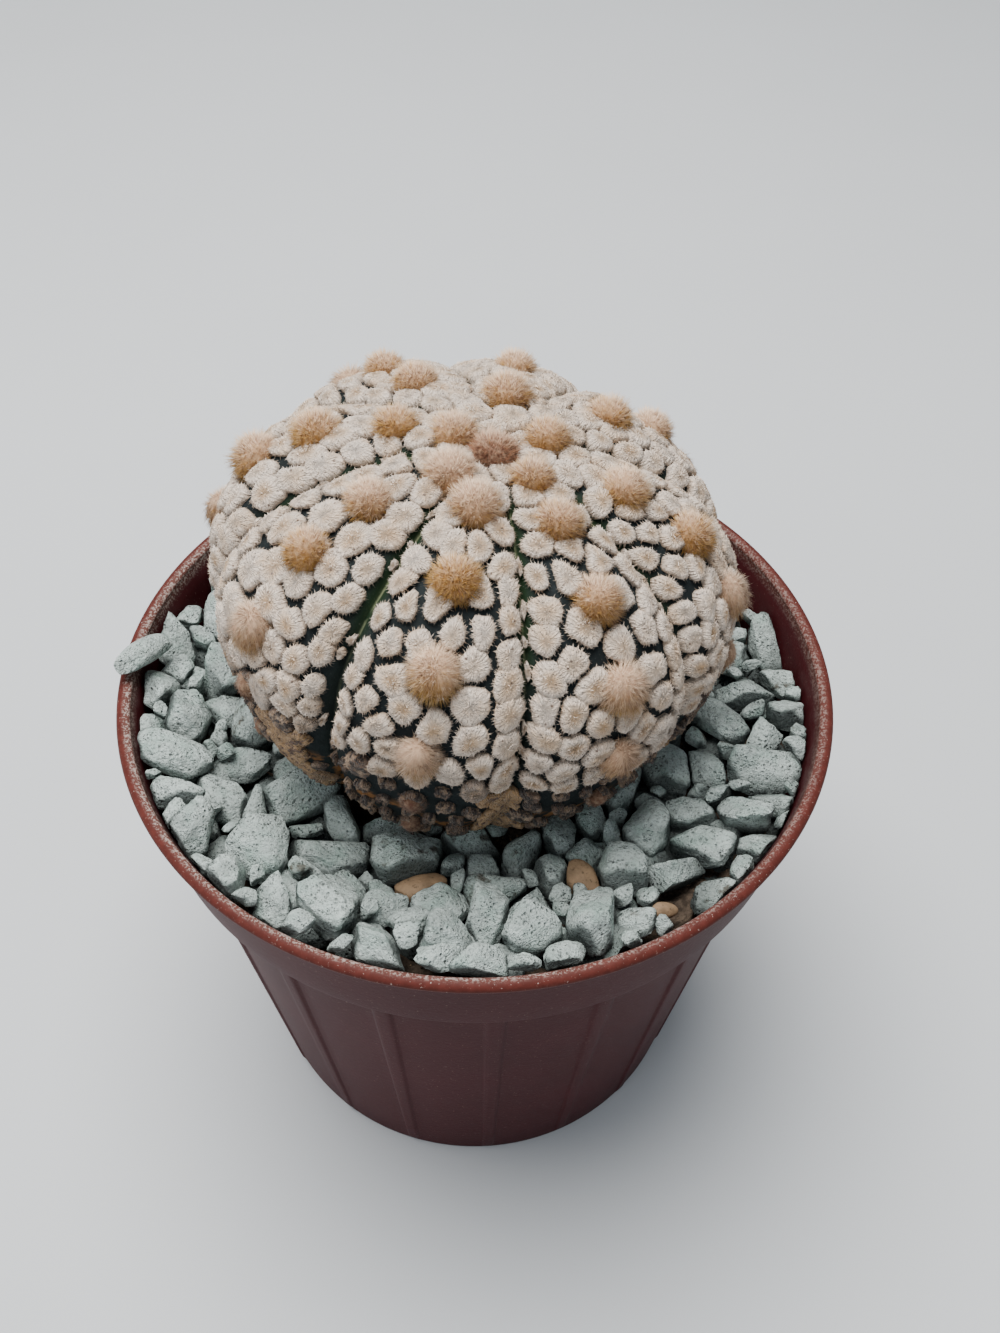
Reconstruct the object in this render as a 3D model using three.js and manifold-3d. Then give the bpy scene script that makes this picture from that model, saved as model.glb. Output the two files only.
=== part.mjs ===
// A super kabuto star cactus in a round plastic nursery pot, topped with grey-green gravel.
// Millimetres, +Z up. The origin is the centre of the pot's foot, on the surface it stands on.
// The front faces -Y, and +X is to the right.

import * as THREE from 'three';
import { mergeVertices } from 'three/addons/utils/BufferGeometryUtils.js';
import Module from 'manifold-3d';

const wasm = await Module();
wasm.setup();

// Pot: a 105 mm nursery pot
const RIM_RADIUS = 52.5;
const POT_HEIGHT = 85;
const FOOT_RADIUS = 37.5;
const WALL_TAPER = 0.13;
const WALL = 1.15;
const LIP_WIDTH = 2.0;
const LIP_HEIGHT = 1.6;
const COLLAR_LOW = 69.6;
const COLLAR_LOW_RADIUS = 49.3;
const COLLAR_TAPER = 0.135;
const FLOOR_LOW = 1.9;
const FLOOR_THICK = 1.5;
const FOOT_RING = 2.9;
const EDGE_ROUND = 0.4;
const WALL_RIBS = 18;
const FIRST_WALL_RIB = 275;
const WALL_RIB_TOP_WIDTH = 3.2;
const WALL_RIB_FOOT_WIDTH = 1.9;
const WALL_RIB_PROUD = 0.55;
const WALL_RIB_SUNK = 0.6;
const WALL_RIB_LOW = 0.9;
const DRAIN_HOLES = 6;
const DRAIN_RADIUS = 3.2;
const DRAIN_CIRCLE = 25;
const POT_SEGMENTS = 54;

// Filling
const GAP = 0.35;
const SOIL_TOP = 69;
const SOIL_EDGE = 2;
const BED_BELOW = 4.4;
const BED_RINGS = [48.4, 43, 37, 31, 26, 0];
const BED_ROUGHNESS = 0.5;
const GRAVEL_LEVEL = 80.8;
const GRAVEL_BANK = 0.9;
const GRAVEL_SLOPE = 3.5;
const NECK_RADIUS = 27;
const STONE_SIZES = [
  { radius: 4.7, tries: 500 },
  { radius: 3.7, tries: 700 },
  { radius: 2.8, tries: 900 },
];
const STONE_LENGTH = 2.5;
const STONE_WIDTH = 1.9;
const STONE_THICKNESS = 1.55;
const STONE_TILT = 0.4;
const STONE_RISE = 0.3;
const STONE_CROWDING = 0.84;
const STONE_SEED = 71;
const RIM_STONE_INNER = [-40.6, 9.2, 76.6];
const RIM_STONE_OUTER = [-53.2, -3.4, 88.4];
const RIM_STONE_WIDTH = 5.2;
const RIM_STONE_THICK = 3.6;
const RIM_STONE_ROOM = 8;
const FILL_SEGMENTS = 36;
const ROOM_STEP = 7.5;

// Cactus body: a rounded, slightly leaning ball with eight ribs
const BODY_CENTRE = [-0.2, 1.0, 104.6];
const BODY_RADIUS = 35.9;
const BODY_RISE = 22.9;
const BODY_DEPTH = 35.6;
const BODY_ROUNDNESS = 2.12;
const LEAN = [0.117, 0.023];
const GROOVE_AZIMUTHS = [239.5, 281, 323, 370, 422, 464, 510, 555];
const GROOVE_DEPTH = 2.1;
const GROOVE_FLANK = 6;
const GROOVE_SHARPNESS = 2.2;
const GROOVE_FADES_IN = [16, 60];
const GROOVE_FADES_OUT = [115, 160];
const GROOVE_LOST_BELOW = 0.6;
const APEX_DIP = 1.4;
const APEX_SPREAD = 13;
const BURIED_FROM = 131;

// Areoles: the angle of each from the plant's own axis, rib by rib. The ribs start at the front, between
// the first two grooves, and run anticlockwise seen from above. aside turns a rib's first areole.
const RIB_AREOLES = [
  { angles: [30, 51, 70, 88, 104.5, 118], aside: -1 },
  { angles: [20, 36, 56.5, 74.5, 91, 107.5], aside: 3 },
  { angles: [40.5, 60, 77, 94.5, 111], aside: -2 },
  { angles: [17, 44, 62, 81, 99.5, 115], aside: -21 },
  { angles: [26, 50, 70, 89, 107], aside: 0 },
  { angles: [40, 57, 76, 95, 112.5], aside: 3 },
  { angles: [14, 31.5, 52.5, 69, 87, 104, 118], aside: 2 },
  { angles: [22.5, 44, 61, 80.5, 97, 113], aside: 15 },
];
const APEX_AREOLE = { angle: 6, azimuth: 262 };

// Flecks: a mosaic of felt pads, each a cell round its own seed
const MOSAIC_SEED = 20;
const FLECK_SPACING = 4.25;
const BURIED_SPACING = 10;
const AREOLE_CLEAR = 5;
const GROOVE_ROW_OFFSET = 2.2;
const GROOVE_ROW_STEP = 4.6;
const GROOVE_ROW_CLEAR = 3.6;
const GROOVE_ROWS_FROM = 32;
const FLECKS_FROM = 8;
const FLECK_HEIGHT = 1;
const FLECK_CROWN = 0.3;
const FLECK_SHRINK = 0.76;
const AREOLE_HEIGHT = 4;
const CORNER_WELD = 0.4;
const NEIGHBOURS = 30;
const EVENING_ROUNDS = 3;

// Taproot
const ROOT_RADIUS = 7;
const ROOT_TIP_RADIUS = 1.4;
const ROOT_TOP_DEPTH = 30;
const ROOT_TIP_DEPTH = 62;

const DEGREE = Math.PI / 180;

// Repeatable random numbers from 0 to 1
function randomSource(seed) {
  let state = seed;
  return () => {
    state = (Math.imul(state, 1664525) + 1013904223) >>> 0;
    return state / 4294967296;
  };
}

function smoothStep(from, to, value) {
  const t = Math.min(1, Math.max(0, (value - from) / (to - from)));
  return t * t * (3 - 2 * t);
}

// A closed solid from a geometry: shared corners are merged, and triangles that have no area are dropped
function toSolid(geometry) {
  const bare = new THREE.BufferGeometry();
  bare.setAttribute('position', geometry.attributes.position);
  bare.setIndex(geometry.index);
  const merged = mergeVertices(bare, 1e-4);
  const index = merged.index.array;
  const kept = [];
  for (let i = 0; i < index.length; i += 3) {
    const [a, b, c] = [index[i], index[i + 1], index[i + 2]];
    if (a !== b && b !== c && c !== a) kept.push(a, b, c);
  }
  const mesh = new wasm.Mesh({
    numProp: 3,
    vertProperties: Float32Array.from(merged.attributes.position.array),
    triVerts: Uint32Array.from(kept),
  });
  return new wasm.Manifold(mesh);
}

function toGeometry(solid) {
  const mesh = solid.getMesh();
  const geometry = new THREE.BufferGeometry();
  geometry.setAttribute('position', new THREE.BufferAttribute(Float32Array.from(mesh.vertProperties), 3));
  geometry.setIndex(new THREE.BufferAttribute(Uint32Array.from(mesh.triVerts), 1));
  return geometry;
}

// A turned shape about the Z axis, from [radius, height] pairs that run anticlockwise round the section
function turned(profile, segments, startAngle = 0) {
  const points = profile.map(([radius, height]) => new THREE.Vector2(radius, height));
  const geometry = new THREE.LatheGeometry(points, segments, startAngle, 2 * Math.PI);
  geometry.rotateX(Math.PI / 2);
  return geometry;
}

// Pot

function wallRadius(height) {
  return FOOT_RADIUS + WALL_TAPER * height;
}

function collarRadius(height) {
  return COLLAR_LOW_RADIUS + COLLAR_TAPER * (height - COLLAR_LOW);
}

function potProfile() {
  const floorTop = FLOOR_LOW + FLOOR_THICK;
  const lipLow = POT_HEIGHT - LIP_HEIGHT;
  const shelf = COLLAR_LOW + WALL;
  return [
    [0, FLOOR_LOW],
    [FOOT_RADIUS - FOOT_RING - EDGE_ROUND, FLOOR_LOW],
    [FOOT_RADIUS - FOOT_RING, 0],
    [FOOT_RADIUS - EDGE_ROUND, 0],
    [wallRadius(EDGE_ROUND), EDGE_ROUND],
    [wallRadius(COLLAR_LOW - EDGE_ROUND), COLLAR_LOW - EDGE_ROUND],
    [COLLAR_LOW_RADIUS, COLLAR_LOW],
    [collarRadius(lipLow), lipLow],
    [RIM_RADIUS - EDGE_ROUND, lipLow + 0.25 * EDGE_ROUND],
    [RIM_RADIUS, POT_HEIGHT - 0.5 * LIP_HEIGHT],
    [RIM_RADIUS - EDGE_ROUND, POT_HEIGHT - 0.5 * EDGE_ROUND],
    [RIM_RADIUS - 0.5 * LIP_WIDTH, POT_HEIGHT],
    [RIM_RADIUS - LIP_WIDTH, POT_HEIGHT - 0.5 * EDGE_ROUND],
    [collarRadius(lipLow) - WALL, lipLow],
    [collarRadius(shelf) - WALL, shelf + 0.5 * EDGE_ROUND],
    [wallRadius(COLLAR_LOW) - WALL, shelf - 0.5 * EDGE_ROUND],
    [wallRadius(floorTop) - WALL, floorTop],
    [0, floorTop],
  ];
}

// One flat upright rib on the wall, wider at the top, from just above the foot to inside the collar
function wallRib(azimuth) {
  const rib = new THREE.BoxGeometry(1, 1, 1);
  const corners = rib.attributes.position;
  for (let i = 0; i < corners.count; i += 1) {
    const top = corners.getZ(i) > 0;
    const outside = corners.getX(i) > 0;
    const height = top ? COLLAR_LOW + 0.5 * WALL : WALL_RIB_LOW;
    const width = top ? WALL_RIB_TOP_WIDTH : WALL_RIB_FOOT_WIDTH;
    const proud = top ? WALL_RIB_PROUD : 0.5 * WALL_RIB_PROUD;
    const radius = wallRadius(height) + (outside ? proud : -WALL_RIB_SUNK);
    const shoulder = outside ? 0.8 : 1;
    corners.setXYZ(i, radius, corners.getY(i) * width * shoulder, height);
  }
  rib.rotateZ(azimuth * DEGREE);
  return toSolid(rib);
}

function drainHole(radius, distance, azimuth) {
  const hole = new THREE.CylinderGeometry(radius, radius, 3 * FLOOR_THICK, 12);
  hole.rotateX(Math.PI / 2);
  hole.translate(distance, 0, FLOOR_LOW + 0.5 * FLOOR_THICK);
  hole.rotateZ(azimuth * DEGREE);
  return toSolid(hole);
}

function pot() {
  const facet = 360 / POT_SEGMENTS;
  const startAngle = (FIRST_WALL_RIB - 270 - 0.5 * facet) * DEGREE;
  let solid = toSolid(turned(potProfile(), POT_SEGMENTS, startAngle));
  for (let i = 0; i < WALL_RIBS; i += 1) {
    solid = solid.add(wallRib(FIRST_WALL_RIB + (i * 360) / WALL_RIBS));
  }
  solid = solid.subtract(drainHole(DRAIN_RADIUS, 0, 0));
  for (let i = 0; i < DRAIN_HOLES; i += 1) {
    solid = solid.subtract(drainHole(DRAIN_RADIUS, DRAIN_CIRCLE, (i * 360) / DRAIN_HOLES));
  }
  return toGeometry(solid);
}

// Cactus body surface

const bodyFrame = (() => {
  const up = new THREE.Vector3(LEAN[0], LEAN[1], 1).normalize();
  const right = new THREE.Vector3(1, 0, 0).addScaledVector(up, -up.x).normalize();
  const back = new THREE.Vector3().crossVectors(up, right);
  const frame = new THREE.Matrix4().makeBasis(right, back, up);
  return frame.setPosition(...BODY_CENTRE);
})();

// A direction from the body's centre: angle from its axis and azimuth, both in degrees
function direction(angle, azimuth) {
  const side = Math.sin(angle * DEGREE);
  return new THREE.Vector3(
    side * Math.cos(azimuth * DEGREE),
    side * Math.sin(azimuth * DEGREE),
    Math.cos(angle * DEGREE),
  );
}

function angleFromAxis(ray) {
  return Math.acos(Math.min(1, Math.max(-1, ray.z))) / DEGREE;
}

// Distance from the centre to the smooth outline over the ribs' fleck tops
function outlineRadius(ray) {
  const side = Math.hypot(ray.x, ray.y) / BODY_RADIUS;
  const rise = Math.abs(ray.z) / (ray.z > 0 ? BODY_RISE : BODY_DEPTH);
  return (side ** BODY_ROUNDNESS + rise ** BODY_ROUNDNESS) ** (-1 / BODY_ROUNDNESS);
}

// Angle round the axis to the nearest groove, in degrees
function angleToGroove(ray) {
  const azimuth = Math.atan2(ray.y, ray.x) / DEGREE;
  const turns = GROOVE_AZIMUTHS.map((groove) => Math.abs(((azimuth - groove + 900) % 360) - 180));
  return Math.min(...turns);
}

// How far the skin lies below the smooth outline: rib flanks falling into the grooves, and the apex dip
function skinDrop(ray) {
  const radius = outlineRadius(ray);
  const angle = angleFromAxis(ray);
  const across = radius * Math.hypot(ray.x, ray.y) * angleToGroove(ray) * DEGREE;
  const flank = 1 - Math.min(1, across / GROOVE_FLANK);
  const opening = smoothStep(...GROOVE_FADES_IN, angle);
  const closing = 1 - GROOVE_LOST_BELOW * smoothStep(...GROOVE_FADES_OUT, angle);
  const dip = APEX_DIP * Math.exp(-((angle / APEX_SPREAD) ** 2));
  return GROOVE_DEPTH * flank ** GROOVE_SHARPNESS * opening * closing + dip;
}

// A point on the body, lifted above the skin
function bodyPoint(ray, lift) {
  const radius = outlineRadius(ray) - FLECK_HEIGHT - skinDrop(ray) + lift;
  return ray.clone().multiplyScalar(radius).applyMatrix4(bodyFrame);
}

// Seeds of the mosaic

function ribAzimuth(rib) {
  const next = GROOVE_AZIMUTHS[(rib + 1) % 8] + (rib === 7 ? 360 : 0);
  return 0.5 * (GROOVE_AZIMUTHS[rib] + next);
}

function areoleSeeds() {
  const seeds = [{ kind: 'areole', ray: direction(APEX_AREOLE.angle, APEX_AREOLE.azimuth) }];
  RIB_AREOLES.forEach(({ angles, aside }, rib) => {
    angles.forEach((angle, order) => {
      const turn = order === 0 ? aside : 0;
      seeds.push({ kind: 'areole', ray: direction(angle, ribAzimuth(rib) + turn) });
    });
  });
  return seeds;
}

function millimetresApart(a, b) {
  return a.distanceTo(b) * outlineRadius(a);
}

function isClear(ray, seeds, spacing) {
  return seeds.every((seed) => {
    const clear = seed.kind === 'areole' ? AREOLE_CLEAR : spacing;
    return millimetresApart(ray, seed.ray) >= clear;
  });
}

// Pairs of seeds that mirror each other across a groove, so that the groove stays a clean line
function addGrooveRows(seeds, draw) {
  for (const groove of GROOVE_AZIMUTHS) {
    let angle = GROOVE_ROWS_FROM + 6 * draw();
    while (angle < BURIED_FROM) {
      const middle = direction(angle, groove);
      const radius = outlineRadius(middle);
      const aside = GROOVE_ROW_OFFSET / (radius * Math.sin(angle * DEGREE)) / DEGREE;
      const pair = [direction(angle, groove - aside), direction(angle, groove + aside)];
      if (pair.every((ray) => isClear(ray, seeds, GROOVE_ROW_CLEAR))) {
        pair.forEach((ray) => seeds.push({ kind: 'grooveside', ray }));
      }
      angle += (GROOVE_ROW_STEP * (0.85 + 0.4 * draw())) / radius / DEGREE;
    }
  }
}

// Seeds thrown at random between two angles from the axis, each kept if it is clear of all the others
function addScattered(seeds, draw, { kind, spacing, from, to, tries }) {
  const high = Math.cos(from * DEGREE);
  const low = Math.cos(to * DEGREE);
  for (let i = 0; i < tries; i += 1) {
    const rise = low + (high - low) * draw();
    const azimuth = 360 * draw();
    const ray = direction(Math.acos(rise) / DEGREE, azimuth);
    if (isClear(ray, seeds, spacing)) seeds.push({ kind, ray });
  }
}

// The corners of one seed's cell, anticlockwise seen from outside: a square about the seed, on the plane
// that touches the unit sphere there, cut by the plane halfway to each neighbour
function cellCorners(seed, seeds) {
  const pole = Math.abs(seed.ray.z) < 0.9 ? new THREE.Vector3(0, 0, 1) : new THREE.Vector3(1, 0, 0);
  const east = new THREE.Vector3().crossVectors(pole, seed.ray).normalize();
  const north = new THREE.Vector3().crossVectors(seed.ray, east);
  const near = seeds
    .filter((other) => other !== seed)
    .map((other) => ({ other, distance: other.ray.distanceTo(seed.ray) }))
    .sort((a, b) => a.distance - b.distance)
    .slice(0, NEIGHBOURS);
  let corners = [[-1, -1], [1, -1], [1, 1], [-1, 1]];
  for (const { other } of near) {
    const normal = seed.ray.clone().sub(other.ray);
    const sides = [normal.dot(east), normal.dot(north), normal.dot(seed.ray)];
    const inside = ([u, v]) => sides[0] * u + sides[1] * v + sides[2];
    const cut = [];
    corners.forEach((corner, i) => {
      const next = corners[(i + 1) % corners.length];
      const here = inside(corner);
      const there = inside(next);
      if (here >= 0) cut.push(corner);
      if (here * there < 0) {
        const t = here / (here - there);
        cut.push([corner[0] + t * (next[0] - corner[0]), corner[1] + t * (next[1] - corner[1])]);
      }
    });
    corners = cut;
  }
  return corners.map(([u, v]) => {
    return seed.ray.clone().addScaledVector(east, u).addScaledVector(north, v).normalize();
  });
}

// Scattered seeds move to the middle of their cells, which evens out the flecks
function evenOut(seeds) {
  for (let round = 0; round < EVENING_ROUNDS; round += 1) {
    const moved = seeds.map((seed) => {
      if (seed.kind === 'areole' || seed.kind === 'grooveside') return seed.ray;
      const middle = new THREE.Vector3();
      cellCorners(seed, seeds).forEach((corner) => middle.add(corner));
      return middle.normalize();
    });
    moved.forEach((ray, i) => {
      seeds[i].ray = ray;
    });
  }
}

function mosaicSeeds() {
  const draw = randomSource(MOSAIC_SEED);
  const seeds = areoleSeeds();
  addGrooveRows(seeds, draw);
  const flecks = { kind: 'fleck', spacing: FLECK_SPACING, from: FLECKS_FROM, to: BURIED_FROM, tries: 6000 };
  const buried = { kind: 'buried', spacing: BURIED_SPACING, from: BURIED_FROM, to: 180, tries: 400 };
  addScattered(seeds, draw, flecks);
  addScattered(seeds, draw, buried);
  evenOut(seeds);
  return seeds;
}

// The grown surface: every cell's corners lie on the skin, and inside them stands a felt pad or a dome of
// wool, as rings of points that shrink towards the cell's middle
function padRings(kind) {
  if (kind === 'buried') return { rings: [], crown: 0 };
  if (kind === 'areole') {
    return {
      rings: [
        { shrink: 0.9, lift: 0.35 * AREOLE_HEIGHT },
        { shrink: 0.62, lift: 0.8 * AREOLE_HEIGHT },
      ],
      crown: AREOLE_HEIGHT,
    };
  }
  return { rings: [{ shrink: FLECK_SHRINK, lift: FLECK_HEIGHT }], crown: FLECK_HEIGHT + FLECK_CROWN };
}

function grownSurface() {
  const seeds = mosaicSeeds();
  const corners = [];
  const points = [];
  const triangles = [];
  const addPoint = (ray, lift) => points.push(bodyPoint(ray, lift)) - 1;
  const sharedCorner = (ray) => {
    const found = corners.find((corner) => millimetresApart(ray, corner.ray) < CORNER_WELD);
    if (found) return found;
    const corner = { ray, point: addPoint(ray, 0) };
    corners.push(corner);
    return corner;
  };
  for (const seed of seeds) {
    const all = cellCorners(seed, seeds).map(sharedCorner);
    const outline = all.filter((corner, i) => corner !== all[(i + 1) % all.length]);
    const middle = new THREE.Vector3();
    outline.forEach((corner) => middle.add(corner.ray));
    middle.normalize();
    const { rings, crown } = padRings(seed.kind);
    let outer = outline.map((corner) => corner.point);
    for (const { shrink, lift } of rings) {
      const inner = outline.map((corner) => {
        const ray = middle.clone().lerp(corner.ray, shrink).normalize();
        return addPoint(ray, lift);
      });
      inner.forEach((point, i) => {
        const next = (i + 1) % inner.length;
        triangles.push(outer[i], outer[next], inner[next]);
        triangles.push(outer[i], inner[next], point);
      });
      outer = inner;
    }
    const top = addPoint(middle, crown);
    outer.forEach((point, i) => triangles.push(point, outer[(i + 1) % outer.length], top));
  }
  const geometry = new THREE.BufferGeometry();
  const values = points.flatMap((point) => point.toArray());
  geometry.setAttribute('position', new THREE.Float32BufferAttribute(values, 3));
  geometry.setIndex(triangles);
  return geometry;
}

// The taproot, tapering down from inside the body's underside. extra widens and lengthens it.
function taproot(extra) {
  const profile = [
    [0, -ROOT_TIP_DEPTH - extra],
    [ROOT_TIP_RADIUS + extra, -ROOT_TIP_DEPTH - extra],
    [0.55 * ROOT_RADIUS + extra, -0.5 * (ROOT_TIP_DEPTH + ROOT_TOP_DEPTH)],
    [ROOT_RADIUS + extra, -ROOT_TOP_DEPTH - 4],
    [ROOT_RADIUS + extra, -ROOT_TOP_DEPTH],
    [0, -ROOT_TOP_DEPTH],
  ];
  return toSolid(turned(profile, 12).applyMatrix4(bodyFrame));
}

function cactus() {
  return toGeometry(toSolid(grownSurface()).add(taproot(0)));
}

// The room the plant takes up in the soil and the gravel: its outline, a little larger, and its root
function plantRoom() {
  const profile = [];
  for (let angle = 180; angle >= 0; angle -= ROOM_STEP) {
    const ray = direction(angle, 0);
    const radius = outlineRadius(ray) + 2 * GAP;
    profile.push([Math.abs(ray.x) * radius, ray.z * radius]);
  }
  profile[0][0] = 0;
  profile[profile.length - 1][0] = 0;
  return toSolid(turned(profile, 40).applyMatrix4(bodyFrame)).add(taproot(GAP));
}

// Filling

function soil(room) {
  const low = FLOOR_LOW + FLOOR_THICK + GAP;
  const side = (height) => wallRadius(height) - WALL - GAP;
  const profile = [
    [0, low],
    [side(low), low],
    [side(SOIL_TOP - SOIL_EDGE), SOIL_TOP - SOIL_EDGE],
    [side(SOIL_TOP) - SOIL_EDGE, SOIL_TOP],
    [0, SOIL_TOP],
  ];
  return toGeometry(toSolid(turned(profile, FILL_SEGMENTS)).subtract(room));
}

// The side of the space that the gravel may take up, from the soil to over the lip
function gravelSide() {
  const bottom = SOIL_TOP + GAP;
  const shelf = COLLAR_LOW + WALL + GAP;
  const clear = WALL + GAP + 0.1;
  return [
    [0, bottom],
    [wallRadius(bottom) - clear, bottom],
    [wallRadius(bottom) - clear, shelf],
    [collarRadius(shelf) - clear, shelf + 0.5],
    [collarRadius(POT_HEIGHT - LIP_HEIGHT) - clear, POT_HEIGHT - LIP_HEIGHT],
    [RIM_RADIUS - LIP_WIDTH - GAP, POT_HEIGHT + GAP],
    [RIM_RADIUS - EDGE_ROUND, POT_HEIGHT + GAP],
    [RIM_RADIUS - EDGE_ROUND, POT_HEIGHT + RIM_STONE_ROOM],
    [0, POT_HEIGHT + RIM_STONE_ROOM],
  ];
}

// Height of the stones' tops: level round the plant, climbing to the lip at the front, sinking at the back
function gravelHeight(x, y) {
  const distance = Math.hypot(x, y);
  const outward = smoothStep(NECK_RADIUS, COLLAR_LOW_RADIUS, distance);
  return GRAVEL_LEVEL + outward * (GRAVEL_BANK - (GRAVEL_SLOPE * y) / distance);
}

// The packed stones under the ones that show, as one uneven bed
function gravelBed() {
  const [low, side] = [gravelSide()[0][1], gravelSide()[3]];
  const profile = [[0, low], ...gravelSide().slice(1, 4)];
  for (const radius of BED_RINGS) profile.push([radius, side[1] + 1]);
  const bed = turned(profile, FILL_SEGMENTS);
  const corners = bed.attributes.position;
  for (let i = 0; i < corners.count; i += 1) {
    const [x, y, z] = [corners.getX(i), corners.getY(i), corners.getZ(i)];
    if (z > side[1] + 0.5) corners.setZ(i, bedHeight(x, y));
  }
  return toSolid(bed);
}

function bedHeight(x, y) {
  return gravelHeight(x, y) - BED_BELOW + BED_ROUGHNESS * Math.sin(1.3 * x) * Math.cos(1.7 * y);
}

// An angular stone lying along X: a ball of twenty faces, knocked out of true, longer than it is thick
function stone(length, width, thickness, draw) {
  const ball = new THREE.IcosahedronGeometry(1, 0);
  ball.deleteAttribute('normal');
  ball.deleteAttribute('uv');
  const shape = mergeVertices(ball, 1e-3);
  const corners = shape.attributes.position;
  for (let i = 0; i < corners.count; i += 1) {
    const knock = 0.82 + 0.34 * draw();
    corners.setXYZ(i, corners.getX(i) * knock, corners.getY(i) * knock, corners.getZ(i) * knock);
  }
  return shape.scale(0.5 * length, 0.5 * width, 0.5 * thickness);
}

// Places for the stones, thrown at random from the largest size down, clear of the plant and the wall
function stonePlaces(draw) {
  const places = [];
  for (const { radius, tries } of STONE_SIZES) {
    for (let i = 0; i < tries; i += 1) {
      const distance = (RIM_RADIUS - LIP_WIDTH) * Math.sqrt(draw());
      const azimuth = 2 * Math.PI * draw();
      const size = radius * (0.88 + 0.24 * draw());
      const x = distance * Math.cos(azimuth);
      const y = distance * Math.sin(azimuth);
      const z = bedHeight(x, y) + STONE_RISE * size;
      const fromPlant = Math.hypot(x - BODY_CENTRE[0], y - BODY_CENTRE[1]);
      const clearOfPlant = fromPlant > NECK_RADIUS + 0.8 * size;
      const clearOfWall = distance < collarRadius(GRAVEL_LEVEL) - WALL - 0.9 * size;
      const isFree = places.every((other) => {
        return Math.hypot(x - other.x, y - other.y) > STONE_CROWDING * (size + other.size);
      });
      if (clearOfPlant && clearOfWall && isFree) places.push({ x, y, z, size });
    }
  }
  return places;
}

function lyingStone({ x, y, z, size }, draw) {
  const shape = stone(STONE_LENGTH * size, STONE_WIDTH * size, STONE_THICKNESS * size, draw);
  shape.rotateX(STONE_TILT * (2 * draw() - 1));
  shape.rotateY(STONE_TILT * (2 * draw() - 1));
  shape.rotateZ(2 * Math.PI * draw());
  return toSolid(shape.translate(x, y, z));
}

// The long stone that lies over the lip, with its inner end among the others
function rimStone(draw) {
  const inner = new THREE.Vector3(...RIM_STONE_INNER);
  const outer = new THREE.Vector3(...RIM_STONE_OUTER);
  const along = outer.clone().sub(inner);
  const shape = stone(along.length(), RIM_STONE_WIDTH, RIM_STONE_THICK, draw);
  const turn = new THREE.Quaternion().setFromUnitVectors(new THREE.Vector3(1, 0, 0), along.normalize());
  shape.applyQuaternion(turn);
  const middle = inner.add(outer).multiplyScalar(0.5);
  return toSolid(shape.translate(middle.x, middle.y, middle.z));
}

// The largest connected piece: what the cuts leave loose is dropped
function withoutScraps(solid) {
  const pieces = solid.decompose();
  return pieces.reduce((largest, piece) => (piece.volume() > largest.volume() ? piece : largest));
}

function gravel(room) {
  const draw = randomSource(STONE_SEED);
  let solid = gravelBed();
  for (const place of stonePlaces(draw)) solid = solid.add(lyingStone(place, draw));
  solid = solid.add(rimStone(draw));
  const space = toSolid(turned(gravelSide(), POT_SEGMENTS));
  return toGeometry(withoutScraps(solid.intersect(space).subtract(room)));
}

// The whole

function part(name, geometry, color, roughness) {
  const material = new THREE.MeshStandardMaterial({ color, roughness, metalness: 0 });
  const mesh = new THREE.Mesh(geometry, material);
  mesh.name = name;
  return mesh;
}

const room = plantRoom();
const pottedCactus = new THREE.Group();
pottedCactus.add(part('pot', pot(), 0x8a4034, 0.55));
pottedCactus.add(part('soil', soil(room), 0x2f2620, 0.95));
pottedCactus.add(part('gravel', gravel(room), 0x9fada4, 0.9));
pottedCactus.add(part('cactus', cactus(), 0xcdbfa9, 0.95));

export default pottedCactus;
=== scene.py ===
import math

import bmesh
import bpy
import numpy as np
from bpy.props import FloatProperty, FloatVectorProperty, IntProperty, PointerProperty
from mathutils import Matrix, Vector


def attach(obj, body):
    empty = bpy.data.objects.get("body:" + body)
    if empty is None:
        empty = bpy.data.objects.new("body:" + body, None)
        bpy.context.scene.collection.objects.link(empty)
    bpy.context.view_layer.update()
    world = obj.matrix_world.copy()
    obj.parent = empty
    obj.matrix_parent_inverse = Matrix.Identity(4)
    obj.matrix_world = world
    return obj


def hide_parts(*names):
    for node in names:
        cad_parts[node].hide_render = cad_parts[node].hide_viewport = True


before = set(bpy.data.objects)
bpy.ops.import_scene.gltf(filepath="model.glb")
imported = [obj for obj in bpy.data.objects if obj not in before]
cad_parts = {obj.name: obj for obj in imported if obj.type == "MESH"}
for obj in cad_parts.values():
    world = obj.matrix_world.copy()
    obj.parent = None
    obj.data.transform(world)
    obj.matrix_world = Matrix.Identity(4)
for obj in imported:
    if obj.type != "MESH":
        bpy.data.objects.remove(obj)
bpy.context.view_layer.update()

bl_info = {
    "name": "Potted star cactus",
    "version": (1, 0, 0),
    "blender": (4, 5, 0),
    "location": "View3D > Sidebar > Star cactus",
    "description": "Dresses the packed cactus in felt, wool, gravel and a moulded pot",
    "category": "Add Mesh",
}

# Lengths below are in millimetres, as in the part's own source, and become metres when a mesh is made.
MM = 0.001
DEGREE = math.pi / 180

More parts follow.
